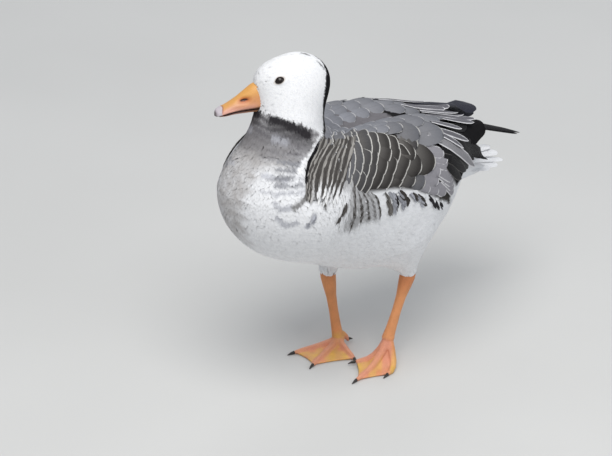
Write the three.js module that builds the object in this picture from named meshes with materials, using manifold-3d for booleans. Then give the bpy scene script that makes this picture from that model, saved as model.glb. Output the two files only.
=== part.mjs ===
// A standing goose at life size, as a museum model: three.js geometry cut and joined with manifold-3d.
// Millimetres, +Z up. The bird faces -Y and its left side is +X.
// The plumage is modelled out to the tips of the feathers, so each solid is the true outline.
// The body is one smooth field of ellipsoids and tapered limbs, meshed whole and then parted by thin cuts.
import * as THREE from 'three';
import { mergeVertices } from 'three/addons/utils/BufferGeometryUtils.js';
import Module from 'manifold-3d';

const wasm = await Module();
wasm.setup();

const V = (x, y, z) => new THREE.Vector3(x, y, z);
const radians = THREE.MathUtils.degToRad;
const lerp = THREE.MathUtils.lerp;
const LEFT = 1;
const RIGHT = -1;
const SIDES = { left: LEFT, right: RIGHT };

// ---------------------------------------------------------------- driving dimensions

const GAP = 0.35;               // between neighbouring solids
const SLACK = 0.15;             // how far a face may move as small facets are merged
const BLEND = 34;               // how softly the forms of the body flow together

// The head stands over the breast and looks to the bird's right.
const HEAD_AT = V(-7, -99, 339);
const HEAD_TURN = 27;           // degrees to the right of the body's own line
const HEAD_NOD = 5;             // degrees down
const EYE_R = 6.4;
const EYE_AT = V(18, -17, 15.5); // the left eye, from the head's centre
const BILL_ROOT = 24;           // how far before the head's centre the bill starts, inside the head
const BILL_LENGTH = 62;         // from there to the tip of the nail

// Legs: hip, hock and the joint that the toes spring from, which is raised on the left.
// A toe's angle is in degrees to the bird's left, and its reach is seen from above. The left inner toe
// is lifted over the other foot's web. The hind toe's angle is from straight back, to the bird's right.
const LEGS = {
  left: {
    hip: V(42, 12, 152), hock: V(44, 27, 96), foot: V(43, -1, 30),
    toes: {
      inner: { angle: -28.6, reach: 38.5, lift: 3.2 },
      middle: { angle: 10, reach: 62 },
      outer: { angle: 43, reach: 36, bow: 6 },
    },
    hind: { angle: 45, end_z: 15 },
  },
  right: {
    hip: V(-42, 4, 152), hock: V(-39.5, -13, 82), foot: V(-25.5, -10.5, 6.8),
    toes: {
      inner: { angle: 70, reach: 44 },
      middle: { angle: 18.5, reach: 63 },
      outer: { angle: -18, reach: 56 },
    },
    hind: { angle: -15, end_z: 1.5 },
  },
};
const THIGH_CUT_Z = 122;
const HIND_TOE = 15;
const TOE_R = 3.6;
const TOE_HEIGHT = 2.5;          // of a toe's middle line, so that its sole is pressed flat
const WEB_THICK = 2;
const CLAW_LENGTH = 8.5;
const FLOOR_CLEAR = 0.2;        // claws end this much above the floor

// Tail, and the blades of the folded wing tips: the long primaries and, over them, the tertials.
// Each runs along a way of points from the wing out to its tip.
const TAIL = { root: V(0, 118, 188), tip: V(0, 219, 166), half_width: 38, thick: 9 };
// slant tips the blade's outer edge down, in degrees.
const PRIMARIES = {
  left: { way: [V(46, 78, 222), V(38, 128, 206), V(17, 188, 180)], half_width: 27, thick: 14, slant: 42 },
  right: { way: [V(-44, 84, 226), V(-32, 150, 212), V(-2, 253, 186)], half_width: 24, thick: 14, slant: -38 },
};
const TERTIALS = {
  left: { way: [V(44, 64, 252), V(38, 116, 248), V(26, 162, 235)], half_width: 17, thick: 12, slant: 24 },
  right: { way: [V(-44, 80, 248), V(-40, 146, 242), V(-30, 208, 220)], half_width: 16, thick: 18, slant: -40 },
};

// ---------------------------------------------------------------- fields

const smoothMin = (a, b, k) => {
  const h = Math.max(k - Math.abs(a - b), 0) / k;
  return Math.min(a, b) - h * h * k / 4;
};

// Distance to an ellipsoid, near enough for a smooth blend. pitch tips its -Y end down, yaw turns it about Z.
const ellipsoid = (at, radii, { pitch = 0, yaw = 0 } = {}) => {
  const turn = new THREE.Matrix4().makeRotationFromEuler(
    new THREE.Euler(radians(pitch), 0, radians(yaw), 'ZYX'));
  const back = turn.invert();
  return (p) => {
    const q = p.clone().sub(at).applyMatrix4(back);
    const k0 = Math.hypot(q.x / radii.x, q.y / radii.y, q.z / radii.z);
    const k1 = Math.hypot(q.x / radii.x ** 2, q.y / radii.y ** 2, q.z / radii.z ** 2);
    return k1 > 0 ? k0 * (k0 - 1) / k1 : -Math.min(radii.x, radii.y, radii.z);
  };
};

// A limb that tapers from radius ra at a to rb at b.
const limb = (a, b, ra, rb) => {
  const axis = b.clone().sub(a);
  const lengthSq = axis.lengthSq();
  return (p) => {
    const q = p.clone().sub(a);
    const t = THREE.MathUtils.clamp(q.dot(axis) / lengthSq, 0, 1);
    return q.addScaledVector(axis, -t).length() - lerp(ra, rb, t);
  };
};

const blendOf = (fields, k) => (p) => fields.reduce((d, f) => smoothMin(d, f(p), k), 1e3);

const smoothPair = (f, g, k) => (p) => smoothMin(f(p), g(p), k);

const bothSides = (make) => [make(LEFT), make(RIGHT)];

// ---------------------------------------------------------------- body form

const breast = ellipsoid(V(0, -99, 217), V(80, 79, 68), { pitch: -18 });
const belly = ellipsoid(V(0, -8, 191), V(86, 102, 80), { pitch: -4 });
const rear = ellipsoid(V(0, 44, 194), V(66, 70, 58), { pitch: 8 });
const rump = limb(V(0, 60, 204), V(0, 150, 182), 43, 15);
const neckBase = limb(V(0, -118, 228), V(-3, -110, 300), 59, 27);
const neck = limb(V(-3, -110, 300), V(-7, -94, 336), 28, 30);
const backs = bothSides((s) => smoothPair(
  ellipsoid(V(s * 42, -8, 231), V(40, 116, 50), { pitch: -8, yaw: s * 5 }),
  limb(V(s * 43, 46, 230), V(s * 19, 158, 224), 37, 11), 14));
const thighs = Object.values(LEGS).map((leg) => limb(leg.hip, leg.hock.clone().add(V(0, 0, 8)), 32, 10));

// The head in its own frame, with the same axes as the body: -Y forward, +X its left.
const headFrame = new THREE.Matrix4().compose(
  HEAD_AT,
  new THREE.Quaternion().setFromEuler(new THREE.Euler(radians(HEAD_NOD), 0, radians(-HEAD_TURN), 'ZYX')),
  V(1, 1, 1));
const headFrameBack = headFrame.clone().invert();
const headForms = [
  ellipsoid(V(0, 4, 3), V(27, 37, 32)),                              // skull
  ellipsoid(V(0, -20, 7), V(18, 21, 21)),                            // face and brow
  ...bothSides((s) => ellipsoid(V(s * 9, -4, -12), V(20, 28, 21))),  // cheeks
];
const headField = blendOf(headForms, 14);
const inHeadFrame = (field) => (p) => field(p.clone().applyMatrix4(headFrameBack));

const trunkField = blendOf([breast, belly, rear, rump], BLEND);
const coreField = blendOf([breast, belly, rear], BLEND);
const bodyField = (() => {
  const withNeck = blendOf([trunkField, neckBase, neck], BLEND);
  const withBacks = blendOf([withNeck, ...backs], 26);
  const withHead = blendOf([withBacks, inHeadFrame(headField)], 12);
  return (p) => thighs.reduce((d, f) => smoothMin(d, f(p), 24), withHead(p));
})();

// ---------------------------------------------------------------- meshing

const geometryOf = (positions, index) => {
  const g = new THREE.BufferGeometry();
  g.setAttribute('position', new THREE.Float32BufferAttribute(positions, 3));
  g.setIndex(index);
  return g;
};

// The zero surface of a field inside a box, with one vertex for each cell that the surface crosses.
const surfaceNet = (field, box, cell) => {
  const size = box.getSize(new THREE.Vector3());
  const n = ['x', 'y', 'z'].map((axis) => Math.ceil(size[axis] / cell) + 1);
  const step = [1, n[0], n[0] * n[1]];
  const at = (i, j, k) => V(box.min.x + i * cell, box.min.y + j * cell, box.min.z + k * cell);
  const value = new Float64Array(n[0] * n[1] * n[2]);
  const edge = (i, j, k) => [i, j, k].some((c, axis) => c === 0 || c === n[axis] - 1);
  for (let k = 0; k < n[2]; k++)
    for (let j = 0; j < n[1]; j++)
      for (let i = 0; i < n[0]; i++) {
        const d = field(at(i, j, k));
        value[i + j * step[1] + k * step[2]] = edge(i, j, k) ? Math.max(d, cell) : d;
      }

  const corners = [...Array(8)].map((_, c) => [c & 1, (c >> 1) & 1, (c >> 2) & 1]);
  const edges = [];
  for (let a = 0; a < 8; a++)
    for (const bit of [1, 2, 4]) if (!(a & bit)) edges.push([a, a | bit]);

  const positions = [];
  const vertexOf = new Map();
  const cellVertex = (i, j, k) => {
    const id = i + j * step[1] + k * step[2];
    if (vertexOf.has(id)) return vertexOf.get(id);
    const sum = V(0, 0, 0);
    let crossings = 0;
    for (const [a, b] of edges) {
      const va = value[id + corners[a][0] + corners[a][1] * step[1] + corners[a][2] * step[2]];
      const vb = value[id + corners[b][0] + corners[b][1] * step[1] + corners[b][2] * step[2]];
      if ((va < 0) === (vb < 0)) continue;
      const pa = at(i + corners[a][0], j + corners[a][1], k + corners[a][2]);
      const pb = at(i + corners[b][0], j + corners[b][1], k + corners[b][2]);
      sum.add(pa.lerp(pb, va / (va - vb)));
      crossings += 1;
    }
    const p = settle(field, sum.divideScalar(crossings), cell);
    vertexOf.set(id, positions.length / 3);
    positions.push(p.x, p.y, p.z);
    return vertexOf.get(id);
  };

  const index = [];
  const quad = (a, b, c, d) => index.push(a, b, c, a, c, d);
  for (let k = 0; k < n[2] - 1; k++)
    for (let j = 0; j < n[1] - 1; j++)
      for (let i = 0; i < n[0] - 1; i++) {
        const id = i + j * step[1] + k * step[2];
        const inside = value[id] < 0;
        for (let axis = 0; axis < 3; axis++) {
          const u = (axis + 1) % 3;
          const w = (axis + 2) % 3;
          if ((value[id + step[axis]] < 0) === inside || ![i, j, k][u] || ![i, j, k][w]) continue;
          const near = (du, dw) => {
            const c = [i, j, k];
            c[u] -= du;
            c[w] -= dw;
            return cellVertex(...c);
          };
          const ring = [near(1, 1), near(0, 1), near(0, 0), near(1, 0)];
          quad(...(inside ? ring : ring.reverse()));
        }
      }
  return geometryOf(positions, index);
};

// Moves a point onto the field's zero surface, no further than half a cell.
const settle = (field, p, cell) => {
  const start = p.clone();
  for (let pass = 0; pass < 2; pass++) {
    const slope = gradient(field, p);
    p.addScaledVector(slope, -field(p) / Math.max(slope.lengthSq(), 0.2));
  }
  const moved = p.clone().sub(start);
  return moved.length() > cell / 2 ? start.add(moved.setLength(cell / 2)) : p;
};

const gradient = (field, p) => {
  const e = 0.5;
  return V(
    field(V(p.x + e, p.y, p.z)) - field(V(p.x - e, p.y, p.z)),
    field(V(p.x, p.y + e, p.z)) - field(V(p.x, p.y - e, p.z)),
    field(V(p.x, p.y, p.z + e)) - field(V(p.x, p.y, p.z - e))).divideScalar(2 * e);
};

// A closed tube of rings. Each ring has a centre and two half axes, and may have its own outline.
const loft = (rings, sides) => {
  const positions = [];
  rings.forEach(({ at, u, v, outline = (a) => [Math.cos(a), Math.sin(a)] }) => {
    for (let s = 0; s < sides; s++) {
      const [cu, cv] = outline(2 * Math.PI * s / sides);
      const p = at.clone().addScaledVector(u, cu).addScaledVector(v, cv);
      positions.push(p.x, p.y, p.z);
    }
  });
  const first = positions.length / 3;
  [rings[0], rings[rings.length - 1]].forEach(({ at }) => positions.push(at.x, at.y, at.z));
  const index = [];
  rings.slice(1).forEach((_, r) => {
    for (let s = 0; s < sides; s++) {
      const a = r * sides + s;
      const b = r * sides + (s + 1) % sides;
      index.push(a, b, b + sides, a, b + sides, a + sides);
    }
  });
  const last = (rings.length - 1) * sides;
  for (let s = 0; s < sides; s++) {
    const next = (s + 1) % sides;
    index.push(first, next, s, first + 1, last + s, last + next);
  }
  return geometryOf(positions, index);
};

// ---------------------------------------------------------------- solids

const solidOf = (geometry, matrix = new THREE.Matrix4()) => {
  const bare = new THREE.BufferGeometry()
    .setAttribute('position', geometry.getAttribute('position').clone())
    .setIndex(geometry.getIndex());
  const g = mergeVertices(bare.applyMatrix4(matrix), 1e-4);
  const made = new wasm.Manifold(new wasm.Mesh({
    numProp: 3,
    vertProperties: g.getAttribute('position').array,
    triVerts: new Uint32Array(g.getIndex().array),
  }));
  if (made.volume() > 0) return made;
  const turned = new Uint32Array(g.getIndex().array);
  for (let i = 0; i < turned.length; i += 3)
    [turned[i + 1], turned[i + 2]] = [turned[i + 2], turned[i + 1]];
  return new wasm.Manifold(new wasm.Mesh({
    numProp: 3,
    vertProperties: g.getAttribute('position').array,
    triVerts: turned,
  }));
};

// The largest body of a solid, so that a cut leaves no crumbs.
const mainBody = (solid) => solid.decompose().reduce((a, b) => (b.volume() > a.volume() ? b : a));

const REACH = 700;
// Everything on the side of a plane that its normal points to.
const halfSpace = (point, normal) => {
  const turn = new THREE.Quaternion().setFromUnitVectors(V(0, 0, 1), normal.clone().normalize());
  const centre = point.clone().addScaledVector(normal.clone().normalize(), REACH / 2);
  return solidOf(new THREE.BoxGeometry(REACH, REACH, REACH),
    new THREE.Matrix4().compose(centre, turn, V(1, 1, 1)));
};

// A smooth outline, grown by a margin and pushed through along an axis: 'x' takes (y, z) points, 'z' takes
// (x, y) points.
const prism = (points, grow, axis, from, to) => {
  const shape = new THREE.Shape();
  shape.moveTo(points[0][0], points[0][1]);
  shape.splineThru(points.slice(1).map(([a, b]) => new THREE.Vector2(a, b)));
  const outline = new wasm.CrossSection([shape.getPoints(2).map((p) => [p.x, p.y])], 'EvenOdd');
  const place = new THREE.Matrix4();
  if (axis === 'x') place.makeBasis(V(0, 1, 0), V(0, 0, 1), V(1, 0, 0));
  const grown = grow > 0 ? outline.offset(grow, 'Miter') : outline;
  return grown.extrude(to - from).translate([0, 0, from]).transform(place.elements);
};

// ---------------------------------------------------------------- the whole body, parted

const BODY_CELL = 20.5;
const NECK_CELL = 15;
const HEAD_CELL = 11;
const THIGH_CELL = 12;
const BED_CELL = 32;
const CORE_DEPTH = 9;           // how deep the folded wings lie in the core of the body
const BED_SHRINK = 0.99;        // of the core that the trunk keeps under it

const meshed = (field, min, max, cell) => solidOf(
  surfaceNet(field, new THREE.Box3(V(...min), V(...max)), cell));

const BODY_BOX = [[-130, -220, 60], [130, 200, 420]];
const BED_BOX = [[-110, -210, 60], [110, 200, 330]];
const wholeBody = meshed(bodyField, ...BODY_BOX, BODY_CELL);
const wingBed = meshed((p) => coreField(p) + CORE_DEPTH, ...BED_BOX, BED_CELL);
// The same core drawn in about its middle, for the trunk to keep under each wing.
const BED_MIDDLE = [0, 0, 212];
const wingBedUnder = wingBed.translate(BED_MIDDLE.map((c) => -c)).scale(BED_SHRINK).translate(BED_MIDDLE);
const neckPart = meshed(bodyField, [-120, -210, 215], [120, 20, 430], NECK_CELL);
const thighPart = meshed(bodyField, [-110, -110, 62], [110, 110, 150], THIGH_CELL);
const headPart = meshed(bodyField, [-66, -160, 280], [60, -30, 410], HEAD_CELL);

// Planes of the cuts: a point, and the way that the upper part lies.
const CUTS = {
  head: { at: V(-6, -95, 308), up: V(-0.05, -0.04, 1).normalize() },
  neck: { at: V(0, -92, 286), up: V(0, -0.42, 1).normalize() },
  thigh: { at: V(0, 0, THIGH_CUT_Z), up: V(0, 0, 1) },
};
const above = ({ at, up }, gap = 0) => halfSpace(at.clone().addScaledVector(up, gap), up);

// ---------------------------------------------------------------- folded wings

// The left wing seen from the side, as (y, z) points: wrist, lower edge, secondaries' tips, tertials' tips, back.
const WING_SIDE = [
  [-128, 300], [-140, 264], [-134, 245], [-84, 239], [-38, 231], [8, 217], [38, 200], [60, 188],
  [74, 199], [104, 214], [134, 224], [166, 238], [150, 300], [0, 340],
];
// The same wing seen from above, as (x, y) points: along the back to the tail, then out and forward.
const WING_TOP = [
  [64, -150], [50, -122], [40, -98], [36, -70], [24, -35], [12, 20], [5, 100], [4, 190], [60, 200], [130, 100],
  [130, -150],
];
const wingRegion = (side, grow) => prism(WING_TOP.map(([x, y]) => [side * x, y]), grow, 'z', 100, 400)
  .intersect(prism(WING_SIDE, grow, 'x', -150, 150));
const wingSpace = (side) => wingRegion(side, GAP).subtract(wingBedUnder);
const wing = (side) => wholeBody.intersect(wingRegion(side, 0)).subtract(wingBed).subtract(above(CUTS.neck));

// A flat blade of feathers along a way of points, thinning and rounding off to its tip.
const blade = ({ way, half_width, thick, slant }, grow = 0) => {
  const curve = new THREE.CatmullRomCurve3(way);
  const sideways = V(1, 0, 0).applyAxisAngle(V(0, 1, 0), radians(slant));
  const rings = [...Array(9)].map((_, i) => {
    const t = i / 8;
    const taper = Math.sqrt(1 - t ** 4);
    const along = curve.getTangentAt(t);
    const across = sideways.clone().addScaledVector(along, -sideways.dot(along)).normalize();
    const normal = along.clone().cross(across).normalize();
    return {
      at: curve.getPointAt(t),
      u: across.multiplyScalar(half_width * lerp(1, 0.55, t) * Math.max(taper, 0.12) + grow),
      v: normal.multiplyScalar(lerp(thick / 2, 1.4, t) * Math.max(taper, 0.5) + grow),
    };
  });
  return solidOf(loft(rings, 10));
};

const tailBlade = (grow = 0) => {
  const { root, tip, half_width, thick } = TAIL;
  const rings = [...Array(8)].map((_, i) => {
    const t = i / 7;
    const round = Math.sqrt(1 - Math.max(0, (t - 0.72) / 0.28) ** 2.4);
    return {
      at: root.clone().lerp(tip, t),
      u: V(half_width * lerp(0.62, 1, t) * Math.max(round, 0.45) + grow, 0, 0),
      v: V(0, 0, lerp(thick / 2, 1.6, t) + grow),
    };
  });
  return solidOf(loft(rings, 12));
};

// ---------------------------------------------------------------- bill and eyes, in the head's frame

// Round on one side and nearly flat on the other, where the mandibles close on each other.
const archOutline = (a) => [Math.cos(a), Math.sin(a) * (Math.sin(a) > 0 ? 1 : 0.02)];

// Upper mandible: [share of the length, half width, culmen height, tomium height] at each station.
const UPPER_STATIONS = [
  [0.00, 12.5, 17.5, -11.0], [0.16, 12.5, 15.5, -12.2], [0.31, 11.8, 11.8, -12.6], [0.44, 10.6, 5.8, -12.6],
  [0.58, 9.6, 0.4, -12.6], [0.78, 9.2, -6.2, -13.2], [0.92, 8.2, -9.6, -14.6], [0.98, 5.4, -11.8, -16.0],
  [1.00, 2.4, -13.6, -16.6],
];
const LOWER_STATIONS = [
  [0.00, 10.8, -13.6, -20.5], [0.16, 10.8, -14.0, -20.0], [0.44, 9.4, -14.0, -18.8], [0.70, 8.0, -14.4, -18.2],
  [0.86, 6.6, -15.9, -18.6], [0.92, 4.2, -16.6, -18.6],
];
const mandible = (stations, upper, grow = 0) => {
  const rings = stations.map(([t, halfWidth, top, bottom], i) => {
    const ends = (i === 0 ? grow : 0) - (i === stations.length - 1 ? grow : 0);
    const [base, height] = upper ? [bottom - grow, top - bottom] : [top + grow, bottom - top];
    return {
      at: V(0, -BILL_ROOT - t * BILL_LENGTH + ends, base),
      u: V(halfWidth + grow, 0, 0),
      v: V(0, 0, height + 2 * grow * Math.sign(height)),
      outline: archOutline,
    };
  });
  return solidOf(loft(rings, 14), headFrame);
};
const upperBill = mandible(UPPER_STATIONS, true);
const lowerBill = mandible(LOWER_STATIONS, false);
const billRoom = mandible(UPPER_STATIONS, true, GAP).add(mandible(LOWER_STATIONS, false, GAP));

const eyeball = (side, grow = 0) => solidOf(
  new THREE.SphereGeometry(EYE_R + grow, 10, 8),
  headFrame.clone().multiply(new THREE.Matrix4().makeTranslation(side * EYE_AT.x, EYE_AT.y, EYE_AT.z)));

// ---------------------------------------------------------------- legs and feet

const circleRing = (at, along, ru, rv, sideways = V(1, 0, 0)) => {
  const u = sideways.clone().addScaledVector(along, -sideways.dot(along)).normalize();
  const v = along.clone().cross(u).normalize();
  return { at, u: u.multiplyScalar(ru), v: v.multiplyScalar(rv) };
};

// Shank: [share of the way from hock to toes, radius across, radius fore and aft].
const SHANK_STATIONS = [
  [-0.16, 7.6, 8.6], [0.02, 8.4, 9.4], [0.16, 7.2, 8.2], [0.32, 5.4, 6.4], [0.55, 4.7, 5.8], [0.80, 5.2, 6.4],
  [1.00, 6.4, 7.2],
];
const shankLoft = ({ hock, foot }, grow = 0) => {
  const along = foot.clone().sub(hock).normalize();
  const rings = SHANK_STATIONS.map(([t, across, fore]) =>
    circleRing(hock.clone().lerp(foot, t), along, across + grow, fore + grow));
  return solidOf(loft(rings, 10));
};
// The foot starts a little above the joint that the toes spring from.
const ankleCut = ({ hock, foot }) => ({
  at: foot.clone().lerp(hock, 0.14),
  up: hock.clone().sub(foot).normalize(),
});

const toeAlong = (toe) => V(Math.sin(radians(toe.angle)), -Math.cos(radians(toe.angle)), 0);
const toeAcross = (toe) => V(Math.cos(radians(toe.angle)), Math.sin(radians(toe.angle)), 0);
const toeWay = (leg, toe) => (s) => {
  const height = Math.max(leg.foot.z - 3, 0) * (1 - s) ** 2.9 + lerp(TOE_HEIGHT, TOE_HEIGHT * 0.8, s);
  return V(leg.foot.x, leg.foot.y, height + (toe.lift ?? 0) * s)
    .addScaledVector(toeAlong(toe), toe.reach * s)
    .addScaledVector(toeAcross(toe), (toe.bow ?? 0) * 4 * s * (1 - s));
};
const toeLoft = (leg, toe) => {
  const way = toeWay(leg, toe);
  const rings = [...Array(6)].map((_, i) => {
    const s = i / 5;
    const along = way(Math.min(s + 0.02, 1)).sub(way(Math.max(s - 0.02, 0))).normalize();
    const r = lerp(TOE_R * 1.45, TOE_R * 0.86, s) * (i === 5 ? 0.55 : 1);
    return circleRing(way(s), along, r, r, toeAcross(toe));
  });
  return solidOf(loft(rings, 6));
};
const hindWay = (leg) => {
  const start = leg.foot.clone().lerp(leg.hock, 0.1);
  const angle = radians(leg.hind.angle);
  const tip = V(start.x - Math.sin(angle) * HIND_TOE, start.y + Math.cos(angle) * HIND_TOE, leg.hind.end_z);
  return new THREE.QuadraticBezierCurve3(start, V((start.x + tip.x) / 2, (start.y + tip.y) / 2, start.z), tip);
};
const hindLoft = (leg) => {
  const way = hindWay(leg);
  const rings = [...Array(5)].map((_, i) => {
    const r = lerp(4.4, 2.6, i / 4) * (i === 4 ? 0.7 : 1);
    return circleRing(way.getPoint(i / 4), way.getTangent(i / 4).normalize(), r, r);
  });
  return solidOf(loft(rings, 8));
};

// The web between two toes: a thin sheet ruled from one to the other, hollowed at its front edge.
const webSheet = (leg, toeA, toeB) => {
  const [wayA, wayB] = [toeWay(leg, toeA), toeWay(leg, toeB)];
  const ALONG = 3;
  const ACROSS = 4;
  const positions = [];
  for (const lift of [WEB_THICK / 2, -WEB_THICK / 2])
    for (let i = 0; i <= ALONG; i++)
      for (let j = 0; j <= ACROSS; j++) {
        const t = j / ACROSS;
        const s = lerp(0.02, 0.95 - 0.06 * 4 * t * (1 - t), i / ALONG);
        const p = wayA(s).lerp(wayB(s), t);
        const sag = 1.2 * 4 * t * (1 - t) * s;
        positions.push(p.x, p.y, Math.max(p.z - sag, 1.2) + lift);
      }
  const index = [];
  const row = ACROSS + 1;
  const under = (ALONG + 1) * row;
  for (let i = 0; i < ALONG; i++)
    for (let j = 0; j < ACROSS; j++) {
      const a = i * row + j;
      index.push(a, a + 1, a + row + 1, a, a + row + 1, a + row);
      index.push(under + a, under + a + row + 1, under + a + 1, under + a, under + a + row, under + a + row + 1);
    }
  const wall = (a, b) => index.push(a, a + under, b + under, a, b + under, b);
  for (let i = 0; i < ALONG; i++) {
    wall((i + 1) * row, i * row);
    wall(i * row + ACROSS, (i + 1) * row + ACROSS);
  }
  for (let j = 0; j < ACROSS; j++) {
    wall(j, j + 1);
    wall(ALONG * row + j + 1, ALONG * row + j);
  }
  return solidOf(geometryOf(positions, index));
};

const footSolid = (leg) => {
  const pad = solidOf(new THREE.SphereGeometry(7.4, 8, 6),
    new THREE.Matrix4().makeTranslation(leg.foot.x, leg.foot.y, leg.foot.z));
  const parts = [
    pad,
    ...Object.values(leg.toes).map((toe) => toeLoft(leg, toe)),
    hindLoft(leg),
    webSheet(leg, leg.toes.inner, leg.toes.middle),
    webSheet(leg, leg.toes.middle, leg.toes.outer),
    shankLoft(leg),
  ];
  return parts.reduce((a, b) => a.add(b)).simplify(SLACK)
    .subtract(above(ankleCut(leg)))
    .intersect(halfSpace(V(0, 0, 0), V(0, 0, 1)));
};

// A claw curves down from the end of a toe and tapers to a blunt point.
const CLAW_RINGS = [0, 0.5, 1];
const clawLoft = (root, along, length, grow) => {
  const rings = CLAW_RINGS.map((t) => {
    const at = root.clone().addScaledVector(along, (length + grow) * t).add(V(0, 0, -1.6 * t * t));
    const r = lerp(2.3, 0.6, t ** 1.2) + grow;
    return circleRing(at, along, r * 0.85, r, V(-along.y, along.x, 0));
  });
  rings[0].at.addScaledVector(along, -grow);
  return solidOf(loft(rings, 7)).intersect(halfSpace(V(0, 0, FLOOR_CLEAR - grow), V(0, 0, 1)));
};
const claws = (leg) => {
  const fore = Object.entries(leg.toes).map(([name, toe]) => {
    const way = toeWay(leg, toe);
    const along = way(1).sub(way(0.9)).setZ(0).normalize();
    return { toe: name, solid: (grow) => clawLoft(way(0.97), along, CLAW_LENGTH, grow) };
  });
  const hind = hindWay(leg);
  const away = hind.getTangent(1).setZ(0).normalize();
  return [...fore, { toe: 'hind', solid: (grow) => clawLoft(hind.getPoint(0.9), away, CLAW_LENGTH * 0.75, grow) }];
};

// ---------------------------------------------------------------- materials

const material = (color, roughness) => new THREE.MeshStandardMaterial({ color, roughness, metalness: 0 });
const MATERIALS = {
  white: material(0xe9eaec, 0.9),
  grey: material(0x6f6d6b, 0.85),
  black: material(0x1b1a1c, 0.6),
  bill: material(0xdf8a4a, 0.45),
  skin: material(0xd98850, 0.6),
  claw: material(0x2a2422, 0.4),
  eye: material(0x120d0b, 0.1),
};

// ---------------------------------------------------------------- the goose

const goose = new THREE.Group();

const without = (solid, ...others) => others.reduce((a, b) => a.subtract(b), solid);

const addNode = (name, solid, look, slack = SLACK) => {
  const { vertProperties, triVerts } = mainBody(solid).simplify(slack).getMesh();
  const mesh = new THREE.Mesh(geometryOf(vertProperties, Array.from(triVerts)), MATERIALS[look]);
  mesh.name = name;
  goose.add(mesh);
};

addNode('head', without(headPart.intersect(above(CUTS.head, GAP)), billRoom, ...bothSides((s) => eyeball(s, GAP))),
  'white');
addNode('neck', neckPart.subtract(above(CUTS.head)).intersect(above(CUTS.neck, GAP)), 'grey');
addNode('bill_upper', upperBill, 'bill');
addNode('bill_lower', lowerBill, 'bill');

const bladeRoom = [PRIMARIES, TERTIALS].flatMap((set) => Object.values(set).map((b) => blade(b, GAP)));
const trunk = wholeBody.subtract(above(CUTS.neck)).intersect(above(CUTS.thigh, GAP));
addNode('trunk', without(trunk, ...bothSides(wingSpace), ...bladeRoom, tailBlade(GAP)), 'white');
addNode('tail', without(tailBlade(), ...bladeRoom), 'white');

for (const [name, side] of Object.entries(SIDES)) {
  const leg = LEGS[name];
  addNode(`eye_${name}`, eyeball(side), 'eye');
  addNode(`wing_${name}`, without(wing(side), ...bladeRoom, tailBlade(GAP)), 'grey');
  addNode(`primaries_${name}`, without(blade(PRIMARIES[name]), blade(TERTIALS[name], GAP)), 'black');
  addNode(`tertials_${name}`, blade(TERTIALS[name]), 'grey');
  const half = halfSpace(V(side * GAP / 2, 0, 0), V(side, 0, 0));
  addNode(`thigh_${name}`, without(thighPart.intersect(half), above(CUTS.thigh), shankLoft(leg, GAP)), 'white');
  addNode(`shank_${name}`, shankLoft(leg).intersect(above(ankleCut(leg), GAP)), 'skin');
  addNode(`foot_${name}`, without(footSolid(leg), ...claws(leg).map((claw) => claw.solid(GAP))), 'skin', 0);
  for (const claw of claws(leg)) addNode(`claw_${claw.toe}_${name}`, claw.solid(0), 'claw');
}

const box = new THREE.Box3().setFromObject(goose);
const middle = box.getCenter(new THREE.Vector3());
goose.position.set(-middle.x, -middle.y, -box.min.z);

export default goose;
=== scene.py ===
"""The looks of a standing domestic goose at life size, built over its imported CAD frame.

Shapes are worked out in millimetres in the goose's own axes: +Z up, the bird faces -Y, its left is +X,
and the floor is z = 0. Every mesh is then set down in the frame, in metres.
One skin carries the coat. Its feathers are vanes that start in the skin and follow the body's form.
"""
import math

import bpy
import numpy as np
from mathutils import Matrix, Vector, kdtree


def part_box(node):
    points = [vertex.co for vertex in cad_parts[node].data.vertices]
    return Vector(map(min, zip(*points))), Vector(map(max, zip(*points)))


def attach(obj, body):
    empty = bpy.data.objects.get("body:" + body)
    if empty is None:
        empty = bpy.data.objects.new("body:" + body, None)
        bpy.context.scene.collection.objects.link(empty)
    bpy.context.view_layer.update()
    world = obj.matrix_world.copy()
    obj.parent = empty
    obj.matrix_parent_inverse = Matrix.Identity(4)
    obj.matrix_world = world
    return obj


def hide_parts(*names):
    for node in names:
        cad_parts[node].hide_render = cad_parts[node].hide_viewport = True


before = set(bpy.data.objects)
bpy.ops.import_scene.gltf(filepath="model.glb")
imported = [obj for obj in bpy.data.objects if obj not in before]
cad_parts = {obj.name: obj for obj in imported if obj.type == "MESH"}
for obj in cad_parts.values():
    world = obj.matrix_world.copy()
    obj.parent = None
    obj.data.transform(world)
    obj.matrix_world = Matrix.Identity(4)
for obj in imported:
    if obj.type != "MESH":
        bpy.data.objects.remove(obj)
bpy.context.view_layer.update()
MM = 0.001
ORIGIN = np.array([0.0000572, -0.0342357, 0.0])   # where the goose's own axes start in the frame
LEFT, RIGHT = 1, -1
SIDES = {"left": LEFT, "right": RIGHT}


# ---------------------------------------------------------------- small mathematics

def vec(*values):
    return np.array(values, float)


def unit(v):
    return v / np.maximum(np.linalg.norm(v, axis=-1, keepdims=True), 1e-9)


def lerp(a, b, t):
    return a + (b - a) * t


def smoothstep(low, high, x):
    t = np.clip((x - low) / (high - low), 0, 1)
    return t * t * (3 - 2 * t)


def bump(x, centre, reach):
    """1 at the centre, falling smoothly to 0 at the reach."""
    return 1 - smoothstep(0, 1, np.abs(x - centre) / reach)


def to_segment(p, a, b):
    """The distance from points to a straight line between two places, and the share along it."""
    axis = b - a
    t = np.clip((p - a) @ axis / (axis @ axis), 0, 1)
    return np.linalg.norm(p - a - t[..., None] * axis, axis=-1), t


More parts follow.
